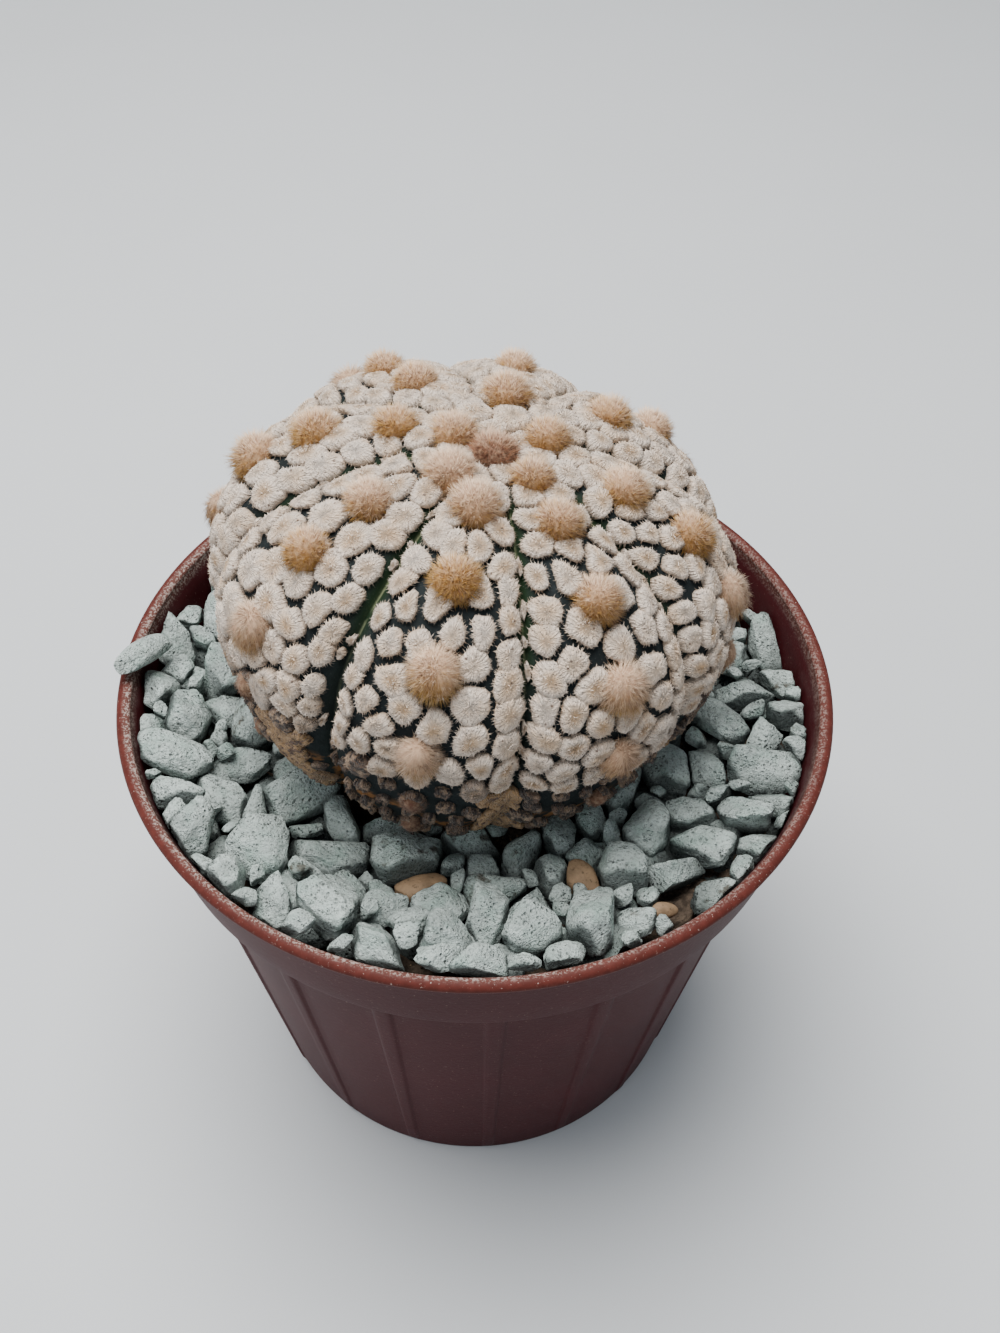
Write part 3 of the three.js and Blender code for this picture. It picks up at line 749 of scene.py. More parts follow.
def fill_patches(group, start, end):
    noise = add_node(group, "ShaderNodeTexNoise", {
        "Vector": object_place(group), "Scale": start.outputs["Scale"], "Detail": 3.0, "Roughness": 0.6})
    spread = add_node(group, "ShaderNodeMapRange", {
        0: noise.outputs["Fac"], 1: start.outputs["From"], 2: start.outputs["To"]})
    group.links.new(spread.outputs[0], end.inputs["Mask"])


def fill_grain(group, start, end):
    place = object_place(group)
    lumps = add_node(group, "ShaderNodeTexNoise", {
        "Vector": place, "Scale": start.outputs["Scale"], "Detail": 5.0, "Roughness": 0.62})
    cells = add_node(group, "ShaderNodeTexVoronoi", {
        "Vector": place, "Scale": math_node(group, "MULTIPLY", start.outputs["Scale"], 1.3)})
    pit = map_range(group, cells.outputs["Distance"], 0.0, 0.42, 1.0, 0.0)
    chosen = add_node(group, "ShaderNodeTexNoise", {
        "Vector": place, "Scale": math_node(group, "MULTIPLY", start.outputs["Scale"], 0.45)})
    pit = math_node(group, "MULTIPLY", pit, map_range(group, chosen.outputs["Fac"], 0.48, 0.6))
    pit = math_node(group, "MULTIPLY", pit, start.outputs["Pits"])
    height = math_node(group, "SUBTRACT", lumps.outputs["Fac"], pit)
    group.links.new(height, end.inputs["Height"])
    group.links.new(pit, end.inputs["Pit mask"])


def fill_combed(group, start, end):
    place = add_node(group, "ShaderNodeAttribute", attribute_name="combing")
    split = add_node(group, "ShaderNodeSeparateXYZ", {0: place.outputs["Vector"]})
    flat = add_node(group, "ShaderNodeCombineXYZ", {0: split.outputs[0], 1: split.outputs[1]})
    reach = add_node(group, "ShaderNodeVectorMath", {0: flat.outputs[0]}, operation="LENGTH").outputs["Value"]
    way = add_node(group, "ShaderNodeVectorMath", {0: flat.outputs[0]}, operation="NORMALIZE")
    way = add_node(group, "ShaderNodeVectorMath", {0: way.outputs[0], 3: start.outputs[0]}, operation="SCALE")
    own = math_node(group, "MULTIPLY", split.outputs[2], 17.0)
    lift = add_node(group, "ShaderNodeCombineXYZ", {
        2: math_node(group, "ADD", math_node(group, "MULTIPLY", reach, 1.1), own)})
    spot = add_node(group, "ShaderNodeVectorMath", {0: way.outputs[0], 1: lift.outputs[0]}, operation="ADD")
    noise = add_node(group, "ShaderNodeTexNoise", {"Vector": spot.outputs[0], "Scale": 1.0, "Detail": 2.5})
    group.links.new(map_range(group, noise.outputs["Fac"], 0.32, 0.68), end.inputs["Lock"])


def fill_specks(group, start, end):
    cells = add_node(group, "ShaderNodeTexVoronoi", {
        "Vector": object_place(group), "Scale": start.outputs["Scale"]})
    split = add_node(group, "ShaderNodeSeparateColor", {"Color": cells.outputs["Color"]})
    size = math_node(group, "MULTIPLY", start.outputs["Size"],
                     math_node(group, "ADD", math_node(group, "MULTIPLY", split.outputs[1], 0.8), 0.4))
    near = math_node(group, "LESS_THAN", cells.outputs["Distance"], size)
    chosen = math_node(group, "LESS_THAN", split.outputs[0], start.outputs["Share"])
    group.links.new(math_node(group, "MULTIPLY", near, chosen), end.inputs["Mask"])


# The node groups that the materials share: the function that fills each, its inputs with their defaults and
# ranges, and its outputs
GROUPS = {
    "Patches": (fill_patches, [("Scale", 100, 0, 10000), ("From", 0.45, 0, 1), ("To", 0.6, 0, 1)], ["Mask"]),
    "Grain": (fill_grain, [("Scale", 800, 0, 10000), ("Pits", 0.5, 0, 1)], ["Height", "Pit mask"]),
    "Combed felt": (fill_combed, [("Streaks", 6, 0, 100)], ["Lock"]),
    "Specks": (fill_specks, [("Scale", 1000, 0, 10000), ("Size", 0.2, 0, 1), ("Share", 0.4, 0, 1)], ["Mask"]),
}


def shared_group(tree, name, *values):
    """The outputs of a node group placed with its own values. The group is made where it is first needed."""
    fill, inputs, outputs = GROUPS[name]
    group = bpy.data.node_groups.get(name)
    if group is None:
        group, start, end = group_of(name, inputs, outputs)
        fill(group, start, end)
    made = add_node(tree, "ShaderNodeGroup", dict(zip((row[0] for row in inputs), values)), node_tree=group)
    return made.outputs


def patches(tree, scale, low, high):
    """Soft irregular patches, as a mask."""
    return shared_group(tree, "Patches", scale, low, high)["Mask"]


def grain(tree, scale, pits):
    """Fine lumpy grain with pits, as a height and as a mask of the pits."""
    outputs = shared_group(tree, "Grain", scale, pits)
    return outputs["Height"], outputs["Pit mask"]


def combed(tree, streaks):
    """Streaks that run outward from the middle of each fleck, from 0 in a furrow to 1 on a lock of felt."""
    return shared_group(tree, "Combed felt", streaks)["Lock"]


def specks(tree, scale, size, share):
    """Small separate specks, as a mask."""
    return shared_group(tree, "Specks", scale, size, share)["Mask"]


def new_material(name, roughness, specular=0.5, sheen=0.0, sheen_roughness=0.5):
    material = bpy.data.materials.new(name)
    material.use_nodes = True
    tree = material.node_tree
    shader = tree.nodes["Principled BSDF"]
    shader.inputs["Roughness"].default_value = roughness
    shader.inputs["Specular IOR Level"].default_value = specular
    shader.inputs["Sheen Weight"].default_value = sheen
    shader.inputs["Sheen Roughness"].default_value = sheen_roughness
    return material, tree, shader


def bump(tree, shader, height, distance, strength=1.0):
    made = add_node(tree, "ShaderNodeBump", {"Height": height, "Distance": distance, "Strength": strength})
    tree.links.new(made.outputs[0], shader.inputs["Normal"])


def mask_channels(tree):
    masks = add_node(tree, "ShaderNodeAttribute", attribute_name="masks")
    split = add_node(tree, "ShaderNodeSeparateColor", {"Color": masks.outputs["Color"]})
    return split.outputs[0], split.outputs[1], split.outputs[2]


def scaled(colour, share):
    return tuple(min(1.0, channel * share) for channel in colour)


def mottled(tree, mask, colour, share):
    """A colour that goes to a lighter or darker share of itself where the mask says."""
    return mix_colours(tree, mask, colour, scaled(colour, share))


def laid_over(tree, colour, mask, share, over):
    """A share of another colour laid over the first where the mask says."""
    return mix_colours(tree, math_node(tree, "MULTIPLY", mask, share), colour, over)


def skin_material(plant):
    """Waxy dark skin. The masks are closeness to a groove, closeness to its crease line, and age."""
    material, tree, shader = new_material("cactus_skin", 0.7, 0.1)
    groove, crease, age = mask_channels(tree)
    height = grain(tree, 2600, 0.4)[0]
    slate = mottled(tree, patches(tree, 900, 0.35, 0.7), plant.skin_colour, 1.5)
    colour = mix_colours(tree, groove, slate, plant.groove_colour)
    speck = patches(tree, 5200, 0.66, 0.74)
    colour = laid_over(tree, colour, speck, 0.35, (0.30, 0.30, 0.26))
    line = math_node(tree, "MULTIPLY", crease, patches(tree, 500, 0.36, 0.5))
    colour = laid_over(tree, colour, line, 0.8, (0.21, 0.23, 0.13))
    cork = math_node(tree, "MULTIPLY", map_range(tree, age, 0.5, 1.0), patches(tree, 420, 0.5, 0.62))
    colour = mix_colours(tree, cork, colour, (0.22, 0.105, 0.04))
    tree.links.new(colour, shader.inputs["Base Color"])
    bump(tree, shader, height, 0.00008)
    return material


def felt_colours(tree, plant, inward, tone, age):
    """Cream felt: darker on the flank, which is painted shade on the side of each cushion, palest on the
    shoulder and peach in the middle of a fleck, with tiny brown dots. Old felt is brown and corky, and a
    crust is orange-brown. inward runs from 0 at the foot to 1 in the middle."""
    # Painted shade: the flank colour darkens the foot and side of each fleck as if in shade.
    flank = scaled(plant.felt_colour, 0.5)
    pale = tuple(0.3 * channel + 0.7 * white for channel, white in zip(plant.felt_colour, (1.0, 0.88, 0.76)))
    warm = (0.92 * plant.felt_colour[0], 0.74 * plant.felt_colour[1], 0.48 * plant.felt_colour[2])
    colour = mix_colours(tree, map_range(tree, inward, 0.0, 0.5), flank, pale)
    middle = math_node(tree, "MULTIPLY", map_range(tree, inward, 0.55, 1.0), map_range(tree, tone, 0.0, 0.8))
    colour = mix_colours(tree, middle, colour, warm)
    colour = laid_over(tree, colour, patches(tree, 300, 0.46, 0.7), 0.5, warm)
    dusty = scaled(plant.felt_colour, 0.72)
    colour = laid_over(tree, colour, patches(tree, 900, 0.5, 0.68), 0.5, dusty)
    brown = (0.11, 0.045, 0.022)
    colour = laid_over(tree, colour, specks(tree, 1050, 0.17, 0.6), 0.8, brown)
    old = mix_colours(tree, patches(tree, 480, 0.42, 0.6), plant.old_felt_colour, (0.50, 0.34, 0.22))
    old = mix_colours(tree, patches(tree, 1150, 0.46, 0.55), old, (0.026, 0.014, 0.009))
    colour = mix_colours(tree, map_range(tree, age, 0.08, 0.42), colour, old)
    crusty = mix_colours(tree, patches(tree, 900, 0.5, 0.62), (0.52, 0.31, 0.14), (0.12, 0.05, 0.022))
    return mix_colours(tree, map_range(tree, age, 0.6, 0.9), colour, crusty)


def felt_material(plant):
    """Woolly felt of the flecks, with painted shade in the furrows between the combed locks and in the pits.
    The masks are the way in from the edge, which also sets the painted shade on each fleck's flank, the
    fleck's own tone, and age.
    """
    material, tree, shader = new_material("cactus_felt", 0.95, 0.12, sheen=0.2, sheen_roughness=0.6)
    inward, tone, age = mask_channels(tree)
    height, pit = grain(tree, 2300, 0.9)
    lock = combed(tree, 6.5)
    colour = felt_colours(tree, plant, inward, tone, age)
    # Painted shade: the furrows between the locks of felt are darkened.
    furrow = math_node(tree, "MULTIPLY", math_node(tree, "SUBTRACT", 1.0, lock), 0.32)
    colour = mix_colours(tree, furrow, colour, scaled(plant.felt_colour, 0.42))
    # Painted shade: the pits of the grain are darkened.
    colour = laid_over(tree, colour, pit, 0.6, scaled(plant.felt_colour, 0.3))
    tree.links.new(colour, shader.inputs["Base Color"])
    relief = math_node(tree, "ADD", height, math_node(tree, "MULTIPLY", lock, 0.5))
    bump(tree, shader, relief, 0.0007)
    return material


def fibre_material(plant):
    """Loose felt fibres, darker toward the root with the painted shade of the fleck's flank and palest toward
    the tip. The masks are the place along the fibre, its own tone, and age.
    """
    material, tree, shader = new_material("felt_fibre", 0.9, 0.12, sheen=0.2, sheen_roughness=0.6)
    along, tone, age = mask_channels(tree)
    # Painted shade: the place along the fibre picks the felt colour from the shaded flank at the root to the
    # pale shoulder at the tip.
    colour = felt_colours(tree, plant, map_range(tree, along, 0.0, 0.8, 0.15, 0.6), tone, age)
    dark = math_node(tree, "MULTIPLY", map_range(tree, tone, 0.85, 0.97), 0.5)
    colour = mix_colours(tree, dark, colour, (0.30, 0.16, 0.08))
    tree.links.new(colour, shader.inputs["Base Color"])
    return material


def wool_material(plant):
    """Fine hair of the areoles, darker toward the root as painted shade deep in the tuft. The masks are the
    place along the hair, how golden it is, and how brown; the golden and brown masks also carry the painted
    shading of each tuft's upper and lower side.
    """
    material, tree, shader = new_material("areole_wool", 0.85, 0.1, sheen=0.1, sheen_roughness=0.5)
    along, golden, brown = mask_channels(tree)
    tip = mix_colours(tree, golden, (0.86, 0.64, 0.46), plant.wool_colour)
    tip = mix_colours(tree, brown, tip, (0.27, 0.105, 0.055))
    # Painted shade: the roots are darkened as if deep in the shade of the tuft.
    dark = mix_colours(tree, brown, (0.16, 0.06, 0.02), (0.045, 0.032, 0.026))
    root = mix_colours(tree, 0.7, tip, dark)
    colour = mix_colours(tree, map_range(tree, along, 0.0, 0.75), root, tip)
    lighter = mix_colours(tree, 0.2, colour, (0.9, 0.7, 0.48))
    colour = mix_colours(tree, patches(tree, 1500, 0.4, 0.7), colour, lighter)
    tree.links.new(colour, shader.inputs["Base Color"])
    return material


def stone_material(filling):
    """Chalky grey-green stone, with painted shade in its crevices, its hollows and its pits, and lighter
    patches painted as highlights. The masks are a stone's own tone, its stain, and how deep in a crevice,
    which sets the painted crevice shade.
    """
    material, tree, shader = new_material("grey_green_stone", 0.95, 0.15)
    tone, stain, crevice = mask_channels(tree)
    height, pit = grain(tree, 1100, 0.9)
    fine = grain(tree, 2600, 1.0)[0]
    colour = mix_colours(tree, tone, scaled(filling.stone_colour, 0.74), scaled(filling.stone_colour, 1.14))
    # Painted highlight: random patches of the stones are made lighter.
    colour = mix_colours(tree, patches(tree, 330, 0.4, 0.65), colour, scaled(filling.stone_colour, 1.3))
    green = (0.66 * filling.stone_colour[0], 0.82 * filling.stone_colour[1], 0.76 * filling.stone_colour[2])
    colour = laid_over(tree, colour, patches(tree, 210, 0.5, 0.7), 0.6, green)
    # Painted shade: the hollows of the fine grain and its pits are darkened.
    hollow = map_range(tree, fine, 0.52, 0.3)
    dark = scaled(filling.stone_colour, 0.4)
    colour = laid_over(tree, colour, hollow, 0.6, dark)
    colour = laid_over(tree, colour, pit, 0.65, scaled(dark, 0.8))
    mark = math_node(tree, "MULTIPLY", patches(tree, 420, 0.56, 0.66), stain)
    colour = laid_over(tree, colour, mark, 0.8, (0.10, 0.075, 0.055))
    # Painted shade: this dark colour is laid where the crevice mask marks faces in contact and parts sunk in
    # the bed.
    damp = (0.03, 0.037, 0.036)
    colour = laid_over(tree, colour, crevice, 0.82, damp)
    tree.links.new(colour, shader.inputs["Base Color"])
    bump(tree, shader, math_node(tree, "ADD", height, math_node(tree, "MULTIPLY", fine, 0.8)), 0.0009)
    return material


def pebble_material(filling):
    """Smooth tan pebbles."""
    material, tree, shader = new_material("tan_pebble", 0.7, 0.35)
    height = grain(tree, 900, 0.3)[0]
    colour = mottled(tree, patches(tree, 500, 0.35, 0.7), filling.pebble_colour, 1.7)
    colour = mix_colours(tree, patches(tree, 1300, 0.6, 0.7), colour, scaled(filling.pebble_colour, 0.35))
    tree.links.new(colour, shader.inputs["Base Color"])
    bump(tree, shader, height, 0.0002)
    return material


def soil_material(filling):
    """Damp crumbly soil with a few pale grains."""
    material, tree, shader = new_material("potting_soil", 0.97, 0.2)
    height = grain(tree, 700, 0.8)[0]
    colour = mottled(tree, patches(tree, 800, 0.4, 0.65), filling.soil_colour, 2.4)
    grit = patches(tree, 1500, 0.66, 0.7)
    colour = mix_colours(tree, grit, colour, (0.30, 0.21, 0.12))
    tree.links.new(colour, shader.inputs["Base Color"])
    bump(tree, shader, height, 0.0009)
    return material


def pot_material(pot):
    """Satin moulded plastic, lighter and more orange at the lip as painted light on its sunlit top, with a
    frost of lime on the lip's inner edge.
    """
    material, tree, shader = new_material("pot_plastic", 0.5, 0.07)
    place = add_node(tree, "ShaderNodeSeparateXYZ", {0: object_place(tree)})
    height = grain(tree, 1500, 0.2)[0]
    up = place.outputs["Z"]
    # Painted light: the top of the lip takes the lighter sunlit lip colour, and the wall below keeps the
    # darker plastic colour.
    lip = map_range(tree, up, (POT_HEIGHT - LIP_HEIGHT - 0.6) * MM, (POT_HEIGHT - 0.5 * LIP_HEIGHT) * MM)
    colour = mottled(tree, patches(tree, 60, 0.35, 0.7), pot.plastic_colour, 0.84)
    sunlit_lip = mottled(tree, patches(tree, 900, 0.4, 0.7), pot.lip_colour, 1.35)
    colour = mix_colours(tree, lip, colour, sunlit_lip)
    flat = add_node(tree, "ShaderNodeCombineXYZ", {0: place.outputs["X"], 1: place.outputs["Y"]})
    reach = add_node(tree, "ShaderNodeVectorMath", {0: flat.outputs[0]}, operation="LENGTH")
    edge = RIM_RADIUS - 0.75 * LIP_WIDTH
    inner = map_range(tree, reach.outputs["Value"], (edge + 0.85) * MM, edge * MM)
    low = map_range(tree, up, (POT_HEIGHT - 2.6) * MM, (POT_HEIGHT - 0.9) * MM)
    side = map_range(tree, place.outputs["X"], 0.045, -0.02, 0.45, 1.0)
    grains = math_node(tree, "MAXIMUM", patches(tree, 3000, 0.53, 0.57), patches(tree, 1400, 0.56, 0.62))
    frost = math_node(tree, "MULTIPLY", math_node(tree, "MULTIPLY", inner, low), side)
    lime = math_node(tree, "MULTIPLY", frost, grains)
    loose = math_node(tree, "MULTIPLY", patches(tree, 2700, 0.68, 0.7), lip)
    lime = math_node(tree, "MAXIMUM", lime, loose)
    haze = math_node(tree, "MULTIPLY", frost, 0.12)
    colour = mix_colours(tree, haze, colour, (0.40, 0.27, 0.23))
    colour = laid_over(tree, colour, lime, 0.6, (0.50, 0.42, 0.38))
    dust = math_node(tree, "MULTIPLY", patches(tree, 2400, 0.66, 0.7), 0.25)
    colour = mix_colours(tree, dust, colour, (0.40, 0.28, 0.24))
    tree.links.new(colour, shader.inputs["Base Color"])
    rough = math_node(tree, "ADD", 0.48, math_node(tree, "MULTIPLY", lime, 0.4))
    tree.links.new(rough, shader.inputs["Roughness"])
    bump(tree, shader, height, 0.00005)
    return material


def floor_material(stage):
    """Plain pale floor with a faint mottle."""
    material, tree, shader = new_material("stage_floor", 0.85, 0.2)
    colour = mottled(tree, patches(tree, 9, 0.3, 0.7), stage.floor_colour, 0.97)
    tree.links.new(colour, shader.inputs["Base Color"])
    return material


# Pieces of the plant


def skin_grid():
    """Rays over the whole body: rows from the apex down, and columns set closer beside the grooves."""
    columns = []
    share = np.arange(34) / 34
    eased = 0.3 * share + 0.7 * (0.5 - 0.5 * np.cos(math.pi * share))
    for rib in range(RIBS):
        start = GROOVE_AZIMUTHS[rib]
        width = 2 * (rib_azimuth(rib) - start)
        columns.append(start + width * eased)
    angles = np.concatenate([[0.05], np.linspace(1.5, 128, 104), np.linspace(131, 179.95, 14)])
    return direction(angles[:, None], np.concatenate(columns)[None, :])


def plant_age(rays):
    """1 on the old brown band near the gravel, and 0 above it."""
    return smooth_step(94, 102, angle_from_axis(rays) + 3 * wavy_noise(rays, 7.0, 12))


def taproot_rings():
    depths = np.linspace(ROOT_TOP_DEPTH - 4, ROOT_TIP_DEPTH, 18)
    share = (depths - depths[0]) / (depths[-1] - depths[0])
    radii = ROOT_RADIUS + (ROOT_TIP_RADIUS - ROOT_RADIUS) * share ** 0.8
    turn = np.linspace(0, 2 * math.pi, 24, endpoint=False)
    knobs = 0.4 * np.sin(3 * turn + 5 * share[:, None]) + 0.3 * np.sin(9 * share[:, None] + 2 * turn)
    radii = radii[:, None] + knobs
    radii[-1] = 0.02
    local = np.stack([radii * np.cos(turn), radii * np.sin(turn), -depths[:, None] + 0 * turn], -1)
    return local @ BODY_AXES + BODY_CENTRE


def build_skin(plant):
    rays = skin_grid()
    across = across_groove(rays)
    fade = smooth_step(12, 30, angle_from_axis(rays))
    rough = 0.05 * wavy_noise(rays * BODY_RADIUS, 1.2, 4)
    points = body_points(rays, rough, CREASE_DEPTH)
    rows, columns = rays.shape[:2]
    corky = smooth_step(104, 114, angle_from_axis(rays) + 4 * wavy_noise(rays, 7.0, 12))
    green = 1 - 0.8 * smooth_step(62, 78, angle_from_axis(rays))
    masks = np.stack([np.exp(-((across / 1.3) ** 2)) * fade * green,
                      np.exp(-((across / 0.15) ** 2)) * fade * green, corky], -1).reshape(-1, 3)
    triangles = grid_triangles(rows, columns)[:, ::-1]
    root = taproot_rings()
    root_triangles = grid_triangles(root.shape[0], root.shape[1])[:, ::-1] + rows * columns
    points = np.concatenate([points.reshape(-1, 3), root.reshape(-1, 3)])
    masks = np.concatenate([masks, np.tile([0, 0, 1.0], (root.shape[0] * root.shape[1], 1))])
    skin = add_piece("plant_skin", points, np.concatenate([triangles, root_triangles]),
                     skin_material(plant), masks)
    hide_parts("cactus")


def fleck_heights(cells, plant):
    height = plant.fleck_height / MM * np.random.default_rng(31).uniform(0.92, 1.12, len(cells.kinds))
    return height * KIND_HEIGHTS[cells.kinds]


def fleck_age(rays):
    """0 on the young flecks, 0.5 on the old brown ones near the gravel, and 1 on the crusts."""
    return np.maximum(0.5 * plant_age(rays), crust(rays) * plant_age(rays))


def fleck_pattern(spokes):
    """The triangles of one fleck: rings of points from its foot inward, closed by its middle point."""
    last = (len(FLECK_RINGS) - 1) * spokes
    spoke = np.arange(spokes)
    fan = np.stack([last + spoke, last + (spoke + 1) % spokes, np.full(spokes, last + spokes)], 1)
    return np.concatenate([grid_triangles(len(FLECK_RINGS), spokes), fan])


def build_flecks(plant, cells):
    """Cushions of felt on the skin, each with a flat or slightly hollow top and a combed edge."""
    rng = np.random.default_rng(31)
    chosen = np.flatnonzero(cells.kinds != BURIED)
    count = len(chosen)
    height = fleck_heights(cells, plant)[chosen]
    hollow = np.where(rng.random(count) < 0.5, rng.uniform(0.12, 0.42, count), -0.04)
    tone = rng.random(count)
    age = fleck_age(cells.middles[chosen])
    size = outline_radius(cells.middles[chosen])
    flat = np.stack([np.cos(cells.turn), np.sin(cells.turn)], -1)
    seed = 9 * rng.random(count)
    rings, masks, combing = [], [], []
    rough = 0.05 + 0.1 * (cells.kinds[chosen] == OLD)
    plain = np.ones((count, cells.spokes))
    for order, (scale, rise) in enumerate(FLECK_RINGS):
        level = order / len(FLECK_RINGS)
        sink = hollow * max(0, 1 - scale / HOLLOW_SHARE)
        lift = (rise * height - sink)[:, None] + rng.normal(0, 1, (count, cells.spokes)) * rough[:, None]
        rings.append(cells.ring(chosen, scale, lift))
        masks.append(np.stack([plain * level, plain * tone[:, None], plain * age[:, None]], -1))
        place = flat[None] * (cells.reach[chosen] * scale * size[:, None])[..., None]
        combing.append(np.concatenate([place, np.tile(seed[:, None, None], (1, cells.spokes, 1))], -1))
    middle = body_points(cells.middles[chosen], FLECK_MIDDLE_RISE * height - hollow)
    points = np.concatenate(rings + [middle[:, None]], axis=1)
    masks = np.concatenate(masks + [np.stack([np.ones(count), tone, age], -1)[:, None]], axis=1)
    combing = np.concatenate(combing + [np.stack([0 * seed, 0 * seed, seed], -1)[:, None]], axis=1)
    triangles = fleck_pattern(cells.spokes)[None] + (np.arange(count) * points.shape[1])[:, None, None]
    add_piece("felt_flecks", points.reshape(-1, 3), triangles.reshape(-1, 3), felt_material(plant),
              masks.reshape(-1, 3), combing.reshape(-1, 3))


def fibre_roots(middles, spoke, distance, share, lift):
    """Where fibres stand, at a share of the way out on their flecks, and the ways outward and upward."""
    rays = unit(middles + spoke * (distance * share)[:, None])
    outer = unit(middles + spoke * (distance * (share + 0.1))[:, None])
    roots = body_points(rays, lift)
    return roots, unit(body_points(outer, lift) - roots), unit(rays @ BODY_AXES)


def build_fringe(plant, cells):
    """Felt fibres that stand out round the edge of each fleck, combed away from its middle."""
    rng = np.random.default_rng(37)
    chosen = np.flatnonzero(cells.kinds != BURIED)
    height = fleck_heights(cells, plant)[chosen]
    reach = cells.reach[chosen].mean(axis=1) * outline_radius(cells.middles[chosen])
    counts = np.clip(2 * math.pi * reach * FRINGE_PER_MILLIMETRE, 20, 200).astype(int)
    hidden = angle_from_axis(cells.middles[chosen]) > 108
    counts = np.where(hidden, counts // 3, counts)
    owner = np.repeat(np.arange(len(chosen)), counts)
    place = rng.random(len(owner)) * cells.spokes
    outside = ~cells.merged[chosen[owner], place.astype(int)] | (rng.random(len(owner)) < 0.12)
    owner, place = owner[outside], place[outside]
    cell = chosen[owner]
    lower = place.astype(int)
    mix = (place - lower)[:, None]
    upper = (lower + 1) % cells.spokes
    spoke = cells.spoke[cell, lower] * (1 - mix) + cells.spoke[cell, upper] * mix
    distance = cells.reach[cell, lower] * (1 - mix[:, 0]) + cells.reach[cell, upper] * mix[:, 0]
    rise = rng.uniform(0.35, 1.0, len(owner))
    scale = np.interp(rise, [0.35, 0.6, 0.95, 1.0], [0.98, 0.97, 0.84, 0.72])
    roots, outward, normals = fibre_roots(cells.middles[cell], spoke, distance, scale, rise * height[owner])
    stray = rng.normal(0, 0.28, (len(owner), 3))
    directions = outward + normals * (0.55 * (rise - 0.45))[:, None] + stray
    lengths = plant.fringe_length / MM * rng.uniform(0.5, 1.35, len(owner))
    age = fleck_age(cells.middles[cell])
    lengths = lengths * (1 - 0.8 * np.minimum(age, 0.5)) * (1 - 0.45 * (cells.kinds[cell] == SLIVER))
    widths = rng.uniform(0.07, 0.13, len(owner))
    bends = -0.15 * normals * lengths[:, None]
    points, triangles, along = hair_mesh(roots, directions, lengths, widths, bends)
    tone = rng.random(len(owner))
    # The place along each fibre sets its painted shade, darker at the root.
    masks = np.stack([0.8 * along, np.repeat(tone, HAIR_POINTS), np.repeat(age, HAIR_POINTS)], -1)
    add_piece("felt_fringe", points, triangles, fibre_material(plant), masks)


def build_nap(plant, cells):
    """Short fibres that lie on top of the flecks, so that the felt has a nap."""
    rng = np.random.default_rng(53)
    chosen = np.flatnonzero((cells.kinds < OLD) & (angle_from_axis(cells.middles) < 106))
    height = fleck_heights(cells, plant)[chosen]
    reach = cells.reach[chosen].mean(axis=1) * outline_radius(cells.middles[chosen])
    counts = np.clip(math.pi * reach ** 2 * NAP_PER_SQUARE_MILLIMETRE, 10, 260).astype(int)
    owner = np.repeat(np.arange(len(chosen)), counts)
    cell = chosen[owner]
    spoke_number = rng.integers(0, cells.spokes, len(owner))
    share = 0.95 * np.sqrt(rng.random(len(owner)))
    spoke = cells.spoke[cell, spoke_number]
    distance = cells.reach[cell, spoke_number]
    rise = np.interp(share, [0, 0.34, 0.68, 0.93], [1.08, 1.08, 1.04, 0.86])
    lift = rise * height[owner] - 0.06
    roots, outward, normals = fibre_roots(cells.middles[cell], spoke, distance, share, lift)
    stray = rng.normal(0, 0.42, (len(owner), 3))
    directions = outward * (0.3 + 0.7 * share)[:, None] + normals * 0.65 + stray
    lengths = rng.uniform(0.25, 0.6, len(owner))
    widths = rng.uniform(0.08, 0.15, len(owner))
    age = fleck_age(cells.middles[cell])
    points, triangles, along = hair_mesh(roots, directions, lengths, widths, -0.12 * normals)
    tone = rng.random(len(owner)) ** 1.5
    # The place along each fibre sets its painted shade, darker at the root.
    masks = np.stack([0.3 + 0.35 * along, np.repeat(tone, HAIR_POINTS), np.repeat(age, HAIR_POINTS)], -1)
    add_piece("felt_nap", points, triangles, fibre_material(plant), masks)


def tuft_styles():
    """For each areole: its ray, how golden, how brown, how old, how combed down, and its size."""
    rng = np.random.default_rng(3)
    gold = [0.35] + [share for rib in WOOL_GOLD for share in rib]
    styles = []
    for number, (ray, golden) in enumerate(zip(areole_rays(), gold)):
        angle = float(angle_from_axis(ray))
        low = float(smooth_step(62, 84, angle))
        shrunk = 0.15 * smooth_step(80, 95, angle) + 0.35 * smooth_step(94, 99, angle)
        size = rng.uniform(0.92, 1.1) * (1 - shrunk)
        size = 1.12 if number == 0 else size
        age = float(smooth_step(93, 99, angle))
        brown = 1.35 if number == 0 else 0.3 * rng.random() + 0.8 * age
        styles.append((ray, golden, brown, age, low * rng.uniform(0.7, 1), size))
    return styles


def fibonacci_dome(count, lowest):
    """Directions spread evenly over a ball, from straight up to the given height."""
    order = np.arange(count) + 0.5
    rise = 1 - (1 - lowest) * order / count
    turn = order * math.pi * (3 - math.sqrt(5))
    side = np.sqrt(1 - rise ** 2)
    return np.stack([side * np.cos(turn), side * np.sin(turn), rise], -1)


def ball_directions(subdivisions):
    """Points and triangles of a ball of small triangles."""
    shape = bmesh.new()
    bmesh.ops.create_icosphere(shape, subdivisions=subdivisions, radius=1)
    shape.verts.ensure_lookup_table()
    points = np.array([vertex.co[:] for vertex in shape.verts])
    triangles = np.array([[vertex.index for vertex in face.verts] for face in shape.faces])
    shape.free()
    return unit(points), triangles


def golden_side_shading(directions):
    """Painted light and shade: how much more golden the hair is on the lower front side of a tuft, which
    faces away from the light, than on its pale, lit upper side.
    """
    return 0.2 + 0.72 * directions @ unit(np.array(GOLDEN_SHADING_WAY))


